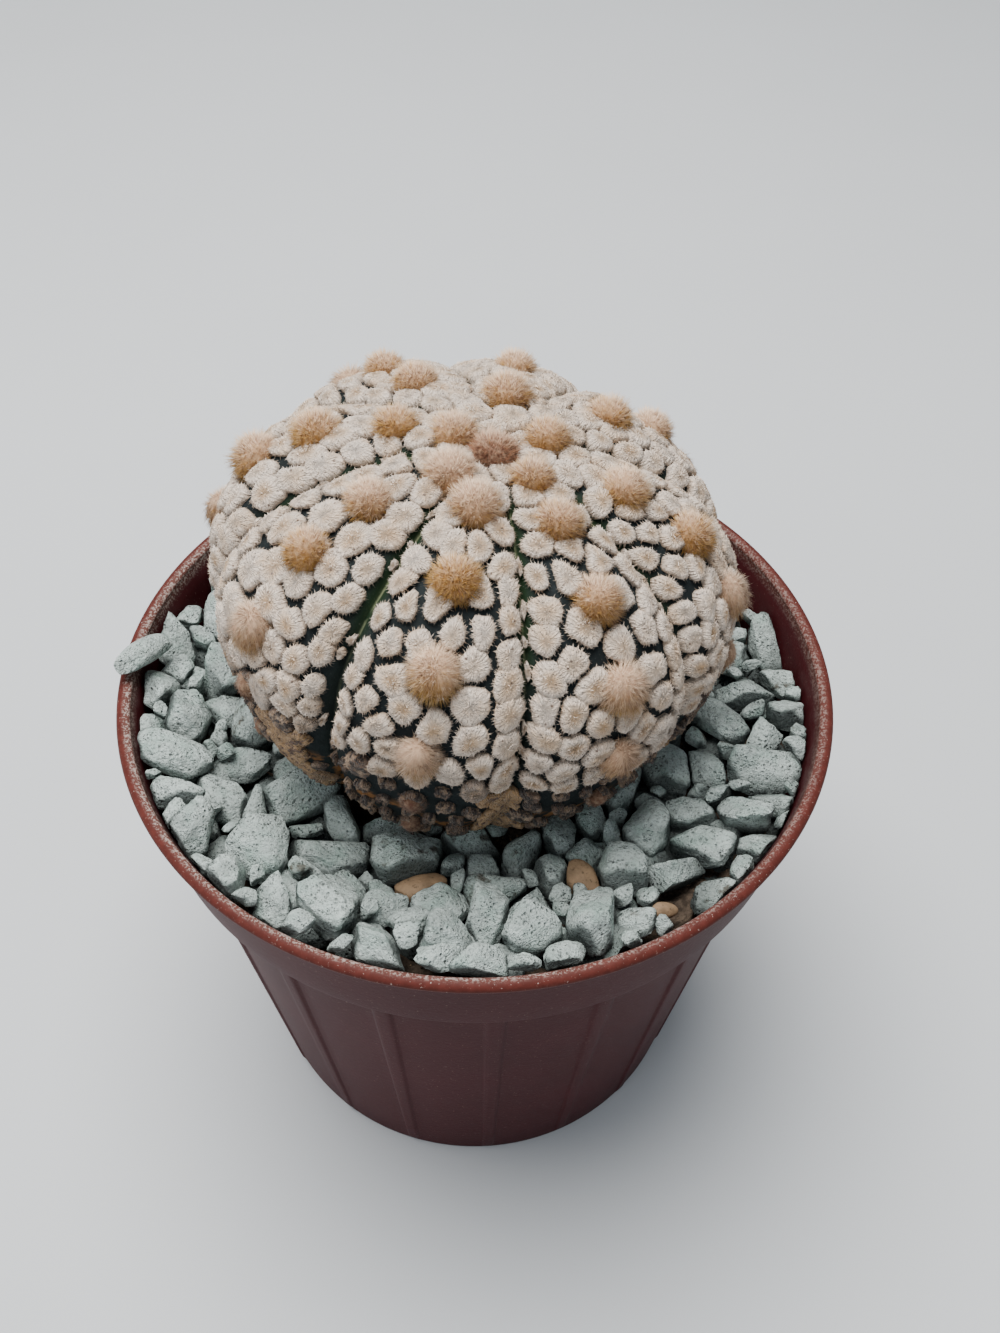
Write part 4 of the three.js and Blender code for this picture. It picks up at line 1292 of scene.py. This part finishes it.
def tuft_core(ball, shape, number, golden, brown, age, combed_down, axes):
    """The bumpy ball under a tuft's hairs, about its own foot, and its masks. The ball takes the hairs' dark
    root colour, painted shade inside the tuft, and the painted side shading that is golden low on the tuft.
    """
    bumpy = 1 + 0.07 * wavy_noise(ball, 4.0, number)[:, None]
    core_gold = np.clip(golden + golden_side_shading(ball @ axes) - 0.35 * combed_down, 0, 1)
    plain = np.ones(len(ball))
    return (ball * shape * bumpy) @ axes, np.stack([0.12 * (1 - age) * plain, core_gold, brown * plain], -1)


def tuft_hairs(rng, plant, size, shape, golden, brown, age, combed_down, axes):
    """The hairs of a tuft, gathered in locks: roots about its foot, directions, lengths and bends, and how
    golden, how brown and how fresh each is. How golden and how brown also carry painted light and shade:
    hairs on the upper side are paler, and hairs on the lower front side are more golden and browner."""
    length = plant.wool_length / MM
    count = int(plant.hairs_per_tuft * min(1, size * size))
    out = unit(fibonacci_dome(count, -0.2) + rng.normal(0, 0.05, (count, 3)))
    locks = unit(fibonacci_dome(LOCKS_PER_TUFT, -0.25) + rng.normal(0, 0.12, (LOCKS_PER_TUFT, 3)))
    lock = (out @ locks.T).argmax(axis=1)
    droop = np.stack([0.8 * out[:, 0], 0.5 * out[:, 1] - 0.65, 0 * out[:, 2] - 0.1], -1)
    aim = unit(out * (1 - 0.8 * combed_down) + droop * combed_down + [0, 0, 0.1])
    lengths = length * size * rng.uniform(0.6, 1.1, count) * rng.uniform(0.8, 1.15, LOCKS_PER_TUFT)[lock]
    gather = (locks[lock] - out) * shape * (0.75 + 0.2 * combed_down) + rng.normal(0, 0.08, out.shape)
    sway = rng.normal(0, 0.1, (LOCKS_PER_TUFT, 3))[lock] * length
    bends = (gather + sway - [0, 0, 0.25 * combed_down * length]) @ axes
    directions = unit(aim + rng.normal(0, 0.14, out.shape)) @ axes
    # Painted light and shade: hairs facing up are paler, and hairs facing down and forward are more golden.
    lower = golden_side_shading(out @ axes)
    shade = golden + lower - 0.35 * combed_down + rng.normal(0, 0.24, LOCKS_PER_TUFT)[lock]
    shade = np.clip(shade + rng.normal(0, 0.18, count), 0, 1)
    # Painted shade: hairs and locks on the lower side are browner and darker.
    darker = brown * np.clip(0.8 + lower, 0, 1.3) * rng.uniform(0.6, 1.2, count)
    darker = darker + 0.4 * (rng.random(LOCKS_PER_TUFT) < 0.16)[lock] * np.clip(0.5 + lower, 0, 1)
    darker = np.clip(darker + 0.5 * (rng.random(count) < 0.08), 0, 1)
    fresh = 1 - 0.75 * age * rng.uniform(0.7, 1.1, count)
    lengths = lengths * (1 + 0.25 * combed_down)
    return (out * shape * 0.92) @ axes, directions, lengths, bends, shade, darker, fresh


def build_wool(plant):
    """A dense velvety tuft of hair on each areole, pale on its upper side and golden on its lower side, which
    is painted light and shade.
    """
    rng = np.random.default_rng(41)
    ball, ball_triangles = ball_directions(3)
    cores = []
    tufts = []
    for number, (ray, golden, brown, age, combed_down, size) in enumerate(tuft_styles()):
        normal = body_normals(ray[None])[0]
        base = body_points(ray[None], 0.5 * plant.fleck_height / MM)[0]
        east, north = (axis[0] for axis in tangent_axes(normal[None]))
        axes = np.stack([east, north, normal])
        shape = np.array([TUFT_RADIUS, TUFT_RADIUS, TUFT_HEIGHT]) * size
        core, core_masks = tuft_core(ball, shape, number, golden, brown, age, combed_down, axes)
        cores.append((core + base, ball_triangles, core_masks))
        roots, *rest = tuft_hairs(rng, plant, size, shape, golden, brown, age, combed_down, axes)
        tufts.append((roots + base, *rest))
    material = wool_material(plant)
    points, triangles, masks = joined(cores)
    add_piece("wool_cores", points, triangles, material, masks)
    roots, directions, lengths, bends, *shades = (np.concatenate(part) for part in zip(*tufts))
    widths = rng.uniform(0.055, 0.105, len(roots))
    points, triangles, along = hair_mesh(roots, directions, lengths, widths, bends)
    golden, brown, fresh = (np.repeat(shade, HAIR_POINTS) for shade in shades)
    add_piece("wool_hairs", points, triangles, material,
              np.stack([along * fresh, golden, brown], -1))


# Pot


def wall_radius(height):
    return FOOT_RADIUS + WALL_TAPER * height


def collar_radius(height):
    return COLLAR_LOW_RADIUS + COLLAR_TAPER * (height - COLLAR_LOW)


def arc(centre, radii, start, end, count):
    turn = np.radians(np.linspace(start, end, count))
    return [(centre[0] + radii[0] * math.cos(t), centre[1] + radii[1] * math.sin(t)) for t in turn]


def pot_section():
    """The wall's section, from the middle of its underside out, up, over the lip and back down inside."""
    lip_low = POT_HEIGHT - LIP_HEIGHT
    floor_top = FLOOR_LOW + FLOOR_THICK
    section = [(0.01, FLOOR_LOW), (12, FLOOR_LOW), (20, FLOOR_LOW), (30, FLOOR_LOW)]
    section += arc((FOOT_RADIUS - FOOT_RING - 0.5, FLOOR_LOW - 0.5), (0.5, 0.5), 90, 0, 4)
    section += arc((FOOT_RADIUS - FOOT_RING + 0.4, 0.4), (0.4, 0.4), 180, 270, 4)
    section += arc((FOOT_RADIUS - 0.5, 0.5), (0.5, 0.5), 270, 360, 5)
    wall_heights = (0.9, 1.3, 2.5, 8, 16, 24, 32, 40, 48, 56, 62, 66, 68, RIB_TOP)
    section += [(wall_radius(z), z) for z in wall_heights]
    section += arc((COLLAR_LOW_RADIUS - 1.9, COLLAR_LOW - 0.5), (0.5, 0.5), 180, 90, 4)
    section += arc((COLLAR_LOW_RADIUS - 0.6, COLLAR_LOW + 0.6), (0.6, 0.6), 270, 360, 5)
    section += [(collar_radius(z), z) for z in (72, 75, 78, 81)]
    section += [(collar_radius(lip_low) + 0.05, lip_low - 0.1)]
    bead = (RIM_RADIUS - 0.5 * LIP_WIDTH, POT_HEIGHT - 0.5 * LIP_HEIGHT)
    section += arc(bead, (0.5 * LIP_WIDTH, 0.5 * LIP_HEIGHT), -50, 200, 20)
    section += [(collar_radius(z) - WALL, z) for z in (82.6, 80, 76, 73, COLLAR_LOW + WALL + 0.6)]
    section += [(COLLAR_LOW_RADIUS - WALL - 0.5, COLLAR_LOW + WALL)]
    section += [(wall_radius(COLLAR_LOW) - WALL, COLLAR_LOW + WALL)]
    section += [(wall_radius(z) - WALL, z) for z in (COLLAR_LOW, 60, 40, 20, floor_top + 0.5)]
    section += [(wall_radius(floor_top) - WALL - 0.5, floor_top), (30, floor_top), (20, floor_top)]
    section += [(12, floor_top), (0.01, floor_top)]
    return section


def pot_row(pot, radius, height):
    """Points round the pot at one place of its section, with the ribs on the outside of the wall."""
    period = 360 / WALL_RIBS
    outside = height <= RIB_TOP and radius > FOOT_RADIUS - 0.2 and radius > wall_radius(height) - 0.3
    share = height / RIB_TOP if outside else 1
    half = 0.5 * pot.rib_width / MM * (0.6 + 0.4 * share)
    step = RIB_STEPS * half
    rise = RIB_RISES * pot.rib_height / MM
    edge = math.degrees(step[-1] / max(radius, 30))
    plain = np.linspace(edge, period - edge, 10)[1:-1]
    turn = np.concatenate([np.degrees(step / max(radius, 30)), plain])
    lift = np.concatenate([rise, 0 * plain]) if outside else 0 * turn
    lift = lift * smooth_step(0.8, 2.5, height) * (0.55 + 0.45 * share)
    row = []
    for rib in range(WALL_RIBS):
        azimuth = np.radians(FIRST_WALL_RIB + rib * period + turn)
        for a, extra in zip(azimuth, lift):
            row.append(((radius + extra) * math.cos(a), (radius + extra) * math.sin(a), height))
    return row


def build_pot(pot):
    points = np.array([pot_row(pot, radius, height) for radius, height in pot_section()])
    triangles = grid_triangles(points.shape[0], points.shape[1])
    piece = add_piece("moulded_pot", points.reshape(-1, 3), triangles, pot_material(pot))
    drill_holes(piece)
    piece.data.set_sharp_from_angle(angle=math.radians(POT_EDGE))
    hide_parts("pot")


def drill_holes(piece):
    """Drain holes through the pot's floor."""
    shape = bmesh.new()
    places = [(0.0, 0.0)]
    places += [(DRAIN_CIRCLE * math.cos(a), DRAIN_CIRCLE * math.sin(a))
               for a in np.arange(DRAIN_HOLES) * 2 * math.pi / DRAIN_HOLES]
    for x, y in places:
        place = Matrix.Translation(Vector((x, y, FLOOR_LOW + 0.5 * FLOOR_THICK)) * MM)
        bmesh.ops.create_cone(shape, cap_ends=True, segments=40, radius1=DRAIN_RADIUS * MM,
                              radius2=DRAIN_RADIUS * MM, depth=4 * FLOOR_THICK * MM, matrix=place)
    mesh = bpy.data.meshes.new("drain_cutter")
    shape.to_mesh(mesh)
    shape.free()
    cutter = bpy.data.objects.new("drain_cutter", mesh)
    bpy.context.scene.collection.objects.link(cutter)
    cut = piece.modifiers.new("drain holes", "BOOLEAN")
    cut.object = cutter
    cut.operation = "DIFFERENCE"
    cut.solver = "EXACT"
    bpy.context.view_layer.update()
    finished = bpy.data.meshes.new_from_object(piece.evaluated_get(bpy.context.evaluated_depsgraph_get()))
    piece.modifiers.clear()
    piece.data = finished
    bpy.data.objects.remove(cutter)


# Filling


def gravel_height(x, y):
    distance = np.hypot(x, y)
    outward = smooth_step(NECK_RADIUS, COLLAR_LOW_RADIUS, distance)
    return GRAVEL_LEVEL + outward * (GRAVEL_BANK - GRAVEL_SLOPE * y / np.maximum(distance, 1e-6))


def bed_height(x, y):
    return gravel_height(x, y) - BED_BELOW + 0.5 * np.sin(1.3 * x) * np.cos(1.7 * y)


def stone_places():
    """Places for the stones by the same rule and draws as the solids: x, y, z and size."""
    draw = random_source(STONE_SEED)
    places = []
    for radius, tries in STONE_SIZES:
        for _ in range(tries):
            distance = (RIM_RADIUS - LIP_WIDTH) * math.sqrt(draw())
            azimuth = 2 * math.pi * draw()
            size = radius * (0.88 + 0.24 * draw())
            x = distance * math.cos(azimuth)
            y = distance * math.sin(azimuth)
            from_plant = math.hypot(x - BODY_CENTRE[0], y - BODY_CENTRE[1])
            clear = from_plant > NECK_RADIUS + 0.8 * size
            clear = clear and distance < collar_radius(GRAVEL_LEVEL) - WALL - 0.9 * size
            if clear and all(math.hypot(x - a, y - b) > STONE_CROWDING * (size + c) for a, b, _, c in places):
                places.append((x, y, float(bed_height(x, y)) + STONE_RISE * size, size))
    return places


def bank_lift(x, y):
    """How much higher the stones lie against the wall at the left and the front, where they reach the lip."""
    distance = np.hypot(x, y)
    facing = (x * BANK_SIDE[0] + y * BANK_SIDE[1]) / np.maximum(distance, 1e-6)
    return BANK_LIFT * smooth_step(36, 47, distance) * smooth_step(-0.2, 0.6, facing)


def off_bare_soil(x, y, _, size):
    """Whether a stone leaves the small spot of bare soil at the front right open."""
    return math.hypot(x - BARE_SOIL[0], y - BARE_SOIL[1]) > BARE_SOIL[2] + 0.8 * size


def filler_places(taken, sizes, tries, below, crowding, seed):
    """More places between the ones that are taken."""
    rng = np.random.default_rng(seed)
    places = []
    everything = [(a, b, c) for a, b, _, c in taken]
    for size in np.sort(rng.uniform(*sizes, tries))[::-1]:
        distance = (RIM_RADIUS - 3) * math.sqrt(rng.random())
        azimuth = 2 * math.pi * rng.random()
        x, y = distance * math.cos(azimuth), distance * math.sin(azimuth)
        from_plant = math.hypot(x - BODY_CENTRE[0], y - BODY_CENTRE[1])
        if from_plant < NECK_RADIUS - 1 + 0.6 * size or distance > COLLAR_LOW_RADIUS - 0.75 * size:
            continue
        if not off_bare_soil(x, y, 0, size):
            continue
        if all(math.hypot(x - a, y - b) > crowding * (size + c) for a, b, c in everything):
            everything.append((x, y, size))
            places.append((x, y, float(bed_height(x, y) + bank_lift(x, y)) - below, size))
    return places


def body_clearance(points):
    """Outward directions of the plant's body at points beside it, and how far off it the points are."""
    halves = np.array([BODY_RADIUS, BODY_RADIUS, BODY_DEPTH])
    place = (points - BODY_CENTRE) / halves
    level = np.linalg.norm(place, axis=-1)
    slope = place / halves / level[..., None]
    steepness = np.linalg.norm(slope, axis=-1)
    return slope / steepness[..., None], (level - 1) / steepness


def wall_inside(height):
    """Radius of the pot's wall inside."""
    return np.where(height > COLLAR_LOW, collar_radius(height), wall_radius(height)) - WALL


def share_inside_wall(points):
    """The share of each point's distance from the pot's axis that keeps it inside the wall."""
    room = wall_inside(points[:, 2]) - 0.5 * STONE_GAP
    return np.minimum(1, room / np.hypot(points[:, 0], points[:, 1]))


def stone_relief(ball, seed):
    relief = 0
    for step, (height, frequency) in enumerate(STONE_RELIEF):
        relief = relief + height * wavy_noise(ball, frequency, seed + step)
    return relief


class Stones:
    """Angular stones by their middles, half lengths and turns."""

    sharpness = 26
    chips = 10
    shallowest_chip = 1.0
    deepest_chip = 0.57
    fullest = 0.84
    loose = False
    tilt = 0.6
    girths = ((1.15, 1.85), (0.78, 1.05), (0.56, 0.86))

    def __init__(self, places, seed):
        rng = np.random.default_rng(seed)
        places = np.array(places)
        count = len(places)
        self.middles = places[:, :3].copy()
        self.sizes = places[:, 3]
        girths = [rng.uniform(low, high, count) for low, high in self.girths]
        self.halves = np.stack(girths, -1) * self.sizes[:, None]
        turns = []
        for lean, tip, turn in zip(*rng.uniform(-1, 1, (3, count))):
            tilted = Matrix.Rotation(self.tilt * lean, 3, "X") @ Matrix.Rotation(self.tilt * tip, 3, "Y")
            turns.append(np.array(Matrix.Rotation(math.pi * turn, 3, "Z") @ tilted))
        self.turns = np.array(turns)

    def settle(self, rounds=110):
        """Pushes stones that touch apart, inside the ring between plant and wall. Each takes the room of
        three balls along its length."""
        home = self.middles[:, 2].copy()
        radius = STONE_FULLNESS * (0.6 * self.halves[:, 1] + 0.4 * self.halves[:, 2])
        stretch = np.maximum(0, STONE_FULLNESS * self.halves[:, 0] - radius)
        offsets = self.turns[:, :, 0][:, None] * stretch[:, None, None] * np.array([-1, 0, 1])[None, :, None]
        reach = np.repeat(radius, 3)
        owner = np.repeat(np.arange(len(radius)), 3)
        needed = reach[:, None] + reach[None]
        needed[owner[:, None] == owner[None]] = 0
        for _ in range(rounds):
            balls = (self.middles[:, None] + offsets).reshape(-1, 3)
            apart = balls[:, None] - balls[None]
            distance = np.linalg.norm(apart, axis=2) + 1e-6
            overlap = np.maximum(0, needed - distance)
            push = (apart / distance[..., None] * overlap[..., None]).sum(axis=1) * 0.16
            side = np.hypot(balls[:, 0], balls[:, 1])
            room = wall_inside(balls[:, 2]) - side - 0.8 * reach
            outward = balls[:, :2] / side[:, None]
            drawn = 0.4 * np.minimum(0, room) + 0.1 * np.clip(room, 0, 2) * (room < 2)
            push[:, :2] += outward * drawn[:, None]
            normal, clear = body_clearance(balls)
            push += normal * (0.4 * np.maximum(0, reach - 0.8 - clear))[:, None]
            push = push.reshape(-1, 3, 3).sum(axis=1)
            self.middles += push * [1, 1, 0.5]
            self.middles[:, 2] += 0.08 * (home - self.middles[:, 2])

    def reach(self, ways):
        """How far each stone reaches along each of its directions."""
        return np.linalg.norm(np.einsum("nij,nki->nkj", self.turns, ways) * self.halves[:, None], axis=2)

    def contacts(self):
        """Planes that part each stone from the others, the pot's wall and the plant: their directions and how
        far from the stone's middle they are. Planes out of its reach are far away."""
        apart = self.middles[None] - self.middles[:, None]
        distance = np.linalg.norm(apart, axis=2) + 1e3 * np.eye(len(apart))
        ways = apart / distance[..., None]
        own = self.reach(ways)
        both = own + own.T
        plane = np.divide(distance * own, both, out=np.full_like(own, 1e3), where=both > 0) - 0.5 * STONE_GAP
        side = np.hypot(self.middles[:, 0], self.middles[:, 1])
        outward = np.stack([self.middles[:, 0] / side, self.middles[:, 1] / side, 0 * side], -1)
        to_wall = wall_inside(self.middles[:, 2]) - side - STONE_GAP
        normal, clear = body_clearance(self.middles)
        ways = np.concatenate([ways, outward[:, None], -normal[:, None]], axis=1)
        plane = np.concatenate([plane, to_wall[:, None], clear[:, None]], axis=1)
        met = (plane < 1.3 * self.reach(ways)) & (not self.loose)
        return ways, np.where(met, np.maximum(plane, 0.3 * self.sizes[:, None]), 1e3)

    def mesh(self, chosen, subdivisions, seed, smooth=False):
        """The chosen stones: balls cut by random planes and by the contacts, with chipped edges. The masks
        are a tone, a stain, and how deep in a crevice a point is, which the material paints as shade."""
        rng = np.random.default_rng(seed)
        ball, pattern = ball_directions(subdivisions)
        ways, planes = self.contacts()
        stones = []
        for number in np.flatnonzero(chosen):
            depths = rng.uniform(self.deepest_chip, self.shallowest_chip, (self.chips, 1))
            faces = unit(rng.normal(size=(self.chips, 3))) / depths
            near = planes[number] < 1e3
            local = ways[number][near] @ self.turns[number] * self.halves[number]
            walls = local / planes[number][near][:, None]
            free = (np.maximum(0, ball @ faces.T) ** self.sharpness).sum(axis=1) * (not smooth)
            touch = (np.maximum(0, ball @ walls.T) ** self.sharpness).sum(axis=1)
            inverse = np.maximum((free + touch) ** (1 / self.sharpness), 1 if smooth else self.fullest)
            relief = stone_relief(ball, int(rng.integers(1 << 30)))
            shape = ball * ((1 + relief * (0.4 if smooth else 1)) / inverse)[:, None] * self.halves[number]
            points = shape @ self.turns[number].T + self.middles[number]
            if not self.loose:
                points[:, :2] *= share_inside_wall(points)[:, None]
            # Painted shade: points on contact faces and points sunk below the gravel's surface are marked for
            # darkening.
            crevice = 0.9 * smooth_step(0.92, 1.0, touch ** (1 / self.sharpness) / inverse)
            sunk = smooth_step(-1.6, -5.0, points[:, 2] - gravel_height(points[:, 0], points[:, 1]))
            tone = np.tile([rng.random(), float(rng.random() < 0.14)], (len(ball), 1))
            masks = np.concatenate([tone, np.maximum(crevice, sunk)[:, None]], axis=1)
            stones.append((points, pattern, masks))
        return joined(stones)


def rim_stone():
    """The blunt stone that leans over the lip on the left."""
    stone = Stones([(*RIM_STONE_PLACE, 1)], 4)
    stone.turns[0] = np.array(Vector((1, 0, 0)).rotation_difference(Vector(RIM_STONE_WAY)).to_matrix())
    stone.halves[0] = RIM_STONE_HALVES
    stone.deepest_chip = 0.84
    stone.loose = True
    return stone


def build_gravel(filling):
    """The top-dressing: the largest stones where the solids have them, smaller ones between them, a layer
    below, and the few tan pebbles."""
    pebbles = [(x, y, float(gravel_height(x, y)) - 2.9, size) for x, y, size in PEBBLES]
    large = [(x, y, z + float(bank_lift(x, y)), 0.9 * size) for x, y, z, size in stone_places()
             if size > LARGE_STONE]
    large = [place for place in large if off_bare_soil(*place)]
    medium = filler_places(pebbles + large, (2.1, 3.4), tries=6000, below=-0.9, crowding=0.78, seed=5)
    small = filler_places(
        pebbles + large + medium, (1.1, 2.0), tries=7000, below=-1.7, crowding=0.8, seed=6)
    stones = Stones(pebbles + large + medium + small, 14)
    stones.settle()
    x, y, size = GAP_STONE
    low = filler_places([], (2.6, 3.8), tries=2500, below=3.0, crowding=0.74, seed=9)
    low = Stones(low + [(x, y, float(gravel_height(x, y)) - 0.9, size)], 15)
    number = np.arange(len(stones.sizes))
    pebble = number < len(pebbles)
    big = ~pebble & (stones.sizes > SMALL_STONE)
    everything = low.sizes > 0
    tops = [stones.mesh(big, 4, 11), rim_stone().mesh(np.array([True]), 4, 7)]
    rest = [stones.mesh(~pebble & ~big, 3, 12), low.mesh(everything, 3, 13)]
    material = stone_material(filling)
    for name, meshes in (("gravel_large", tops), ("gravel_small", rest)):
        points, triangles, masks = joined(meshes)
        piece = add_piece(
            name, points, triangles, material, masks, sharp_angle=STONE_EDGE)
        if name == "gravel_large":
            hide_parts("gravel")
    points, triangles, masks = stones.mesh(pebble, 4, 21, smooth=True)
    add_piece("tan_pebbles", points, triangles, pebble_material(filling), masks)


def soil_side():
    """The soil's underside and side, from the axis outward and up to the edge of its top."""
    low = FLOOR_LOW + FLOOR_THICK + SOIL_GAP
    side = [(0.02, low), (20, low)]
    side += [(wall_radius(height) - WALL - SOIL_GAP, height) for height in (low, 40, 68)]
    return side + [(wall_radius(69) - WALL - 0.5, 71), (SOIL_EDGE, 72)]


def build_soil(filling):
    """The soil fills the pot, with a crumbly top that reaches up between the stones."""
    turn = np.linspace(0, 2 * math.pi, 220, endpoint=False)
    rows = [(radius, height, 0.0) for radius, height in soil_side()]
    for radius in np.linspace(SOIL_EDGE - 0.2, 24, 30):
        rows.append((radius, None, 1.0))
    rows.append((0.02, None, 0.0))
    points = []
    for radius, height, rough in rows:
        x, y = radius * np.cos(turn), radius * np.sin(turn)
        if height is None:
            place = np.stack([x, y, 0 * x], -1)
            lumps = wavy_noise(place, 1.1, 6) + 0.6 * wavy_noise(place, 2.8, 7)
            z = bed_height(x, y) - 2.6 + rough * 0.45 * lumps
        else:
            z = np.full_like(x, height)
        points.append(np.stack([x, y, z], -1))
    points = np.array(points)
    triangles = grid_triangles(points.shape[0], points.shape[1])
    soil = add_piece("potting_soil", points.reshape(-1, 3), triangles, soil_material(filling))
    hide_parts("soil")


# Stage


def build_camera():
    data = bpy.data.cameras.new("camera")
    data.sensor_width = 36
    data.lens = FOCAL_PIXELS * data.sensor_width / max(PICTURE_SIZE)
    data.clip_start = 0.01
    camera = bpy.data.objects.new("camera", data)
    look = Matrix.Rotation(math.radians(90 - CAMERA_PITCH), 4, "X")
    roll = Matrix.Rotation(math.radians(CAMERA_ROLL), 4, "Z")
    camera.matrix_world = Matrix.Translation(CAMERA_PLACE) @ look @ roll
    bpy.context.scene.collection.objects.link(camera)
    bpy.context.scene.camera = camera


def add_softbox(name, place, size, power, colour):
    data = bpy.data.lights.new(name, "AREA")
    data.shape = "DISK"
    data.size = size
    data.energy = power
    data.color = colour
    light = bpy.data.objects.new(name, data)
    aim = Vector((0, 0, AIM_HEIGHT)) - Vector(place)
    light.matrix_world = Matrix.Translation(place) @ aim.to_track_quat("-Z", "Y").to_matrix().to_4x4()
    bpy.context.scene.collection.objects.link(light)


def build_floor(stage):
    """A pale floor that curves up into a backdrop behind the pot."""
    shape = bmesh.new()
    bend_start = FLOOR_DEPTH - FLOOR_BEND
    profile = [(-FLOOR_DEPTH, 0.0), (0.0, 0.0), (bend_start, 0.0)]
    for turn in np.linspace(0.15, math.pi / 2, 10):
        profile.append((bend_start + FLOOR_BEND * math.sin(turn), FLOOR_BEND - FLOOR_BEND * math.cos(turn)))
    profile.append((FLOOR_DEPTH, BACKDROP_HEIGHT))
    across = np.linspace(-FLOOR_HALF, FLOOR_HALF, 9)
    rows = [[shape.verts.new((x, y, z)) for x in across] for y, z in profile]
    for low, high in zip(rows, rows[1:]):
        for i in range(len(low) - 1):
            shape.faces.new((low[i], low[i + 1], high[i + 1], high[i]))
    mesh = bpy.data.meshes.new("stage_floor")
    shape.to_mesh(mesh)
    shape.free()
    mesh.polygons.foreach_set("use_smooth", np.ones(len(mesh.polygons), bool))
    mesh.materials.append(floor_material(stage))
    floor = bpy.data.objects.new("stage_floor", mesh)
    bpy.context.scene.collection.objects.link(floor)


def build_daylight(stage):
    world = bpy.data.worlds.new("daylight")
    world.use_nodes = True
    background = world.node_tree.nodes["Background"]
    background.inputs["Color"].default_value = (*DAYLIGHT_COLOUR, 1)
    background.inputs["Strength"].default_value = stage.daylight
    bpy.context.scene.world = world
    for softbox in SOFTBOXES:
        add_softbox(*softbox)


# Add-on


class STARCACTUS_OT_skin(bpy.types.Operator):
    """Make the plant's ribbed skin, its underside and its taproot"""
    bl_idname = "star_cactus.skin"
    bl_label = "Skin and taproot"

    def execute(self, context):
        build_skin(context.scene.star_cactus_plant)
        return {"FINISHED"}


class STARCACTUS_OT_felt(bpy.types.Operator):
    """Make the felt flecks and the fibres round their edges"""
    bl_idname = "star_cactus.felt"
    bl_label = "Felt flecks"

    def execute(self, context):
        plant = context.scene.star_cactus_plant
        cells = Cells(Mosaic())
        build_flecks(plant, cells)
        build_fringe(plant, cells)
        build_nap(plant, cells)
        return {"FINISHED"}


class STARCACTUS_OT_wool(bpy.types.Operator):
    """Make the tuft of wool on each areole"""
    bl_idname = "star_cactus.wool"
    bl_label = "Areole wool"

    def execute(self, context):
        build_wool(context.scene.star_cactus_plant)
        return {"FINISHED"}


class STARCACTUS_OT_gravel(bpy.types.Operator):
    """Make the loose stones of the top-dressing and the few pebbles among them"""
    bl_idname = "star_cactus.gravel"
    bl_label = "Gravel"

    def execute(self, context):
        build_gravel(context.scene.star_cactus_filling)
        return {"FINISHED"}


class STARCACTUS_OT_soil(bpy.types.Operator):
    """Make the potting soil under the stones"""
    bl_idname = "star_cactus.soil"
    bl_label = "Potting soil"

    def execute(self, context):
        build_soil(context.scene.star_cactus_filling)
        return {"FINISHED"}


class STARCACTUS_OT_pot(bpy.types.Operator):
    """Make the moulded pot with its lip, collar, ribs and drain holes"""
    bl_idname = "star_cactus.pot"
    bl_label = "Moulded pot"

    def execute(self, context):
        build_pot(context.scene.star_cactus_pot)
        return {"FINISHED"}


class STARCACTUS_OT_stage(bpy.types.Operator):
    """Make the floor, the lights and the camera"""
    bl_idname = "star_cactus.stage"
    bl_label = "Stage"

    def execute(self, context):
        stage = context.scene.star_cactus_stage
        build_camera()
        build_floor(stage)
        build_daylight(stage)
        return {"FINISHED"}


class STARCACTUS_PT_panel(bpy.types.Panel):
    """The potted cactus's pieces and settings"""
    bl_idname = "STARCACTUS_PT_panel"
    bl_label = "Potted star cactus"
    bl_space_type = "VIEW_3D"
    bl_region_type = "UI"
    bl_category = "Star cactus"

    def draw(self, context):
        for operator in OPERATORS:
            self.layout.operator(operator.bl_idname)
        for name, group in SETTINGS.items():
            box = self.layout.box()
            for label in group.__annotations__:
                box.prop(getattr(context.scene, name), label)


SETTINGS = {
    "star_cactus_plant": PlantSettings,
    "star_cactus_pot": PotSettings,
    "star_cactus_filling": FillingSettings,
    "star_cactus_stage": StageSettings,
}
OPERATORS = [
    STARCACTUS_OT_stage,
    STARCACTUS_OT_pot,
    STARCACTUS_OT_soil,
    STARCACTUS_OT_gravel,
    STARCACTUS_OT_skin,
    STARCACTUS_OT_felt,
    STARCACTUS_OT_wool,
]


def register():
    for group in (*SETTINGS.values(), *OPERATORS, STARCACTUS_PT_panel):
        bpy.utils.register_class(group)
    for name, group in SETTINGS.items():
        setattr(bpy.types.Scene, name, PointerProperty(type=group))


def unregister():
    for name in SETTINGS:
        delattr(bpy.types.Scene, name)
    for group in reversed((*SETTINGS.values(), *OPERATORS, STARCACTUS_PT_panel)):
        bpy.utils.unregister_class(group)


def main():
    register()
    for name in ("stage", "pot", "soil", "gravel", "skin", "felt", "wool"):
        getattr(bpy.ops.star_cactus, name)()


if __name__ == "__main__":
    main()
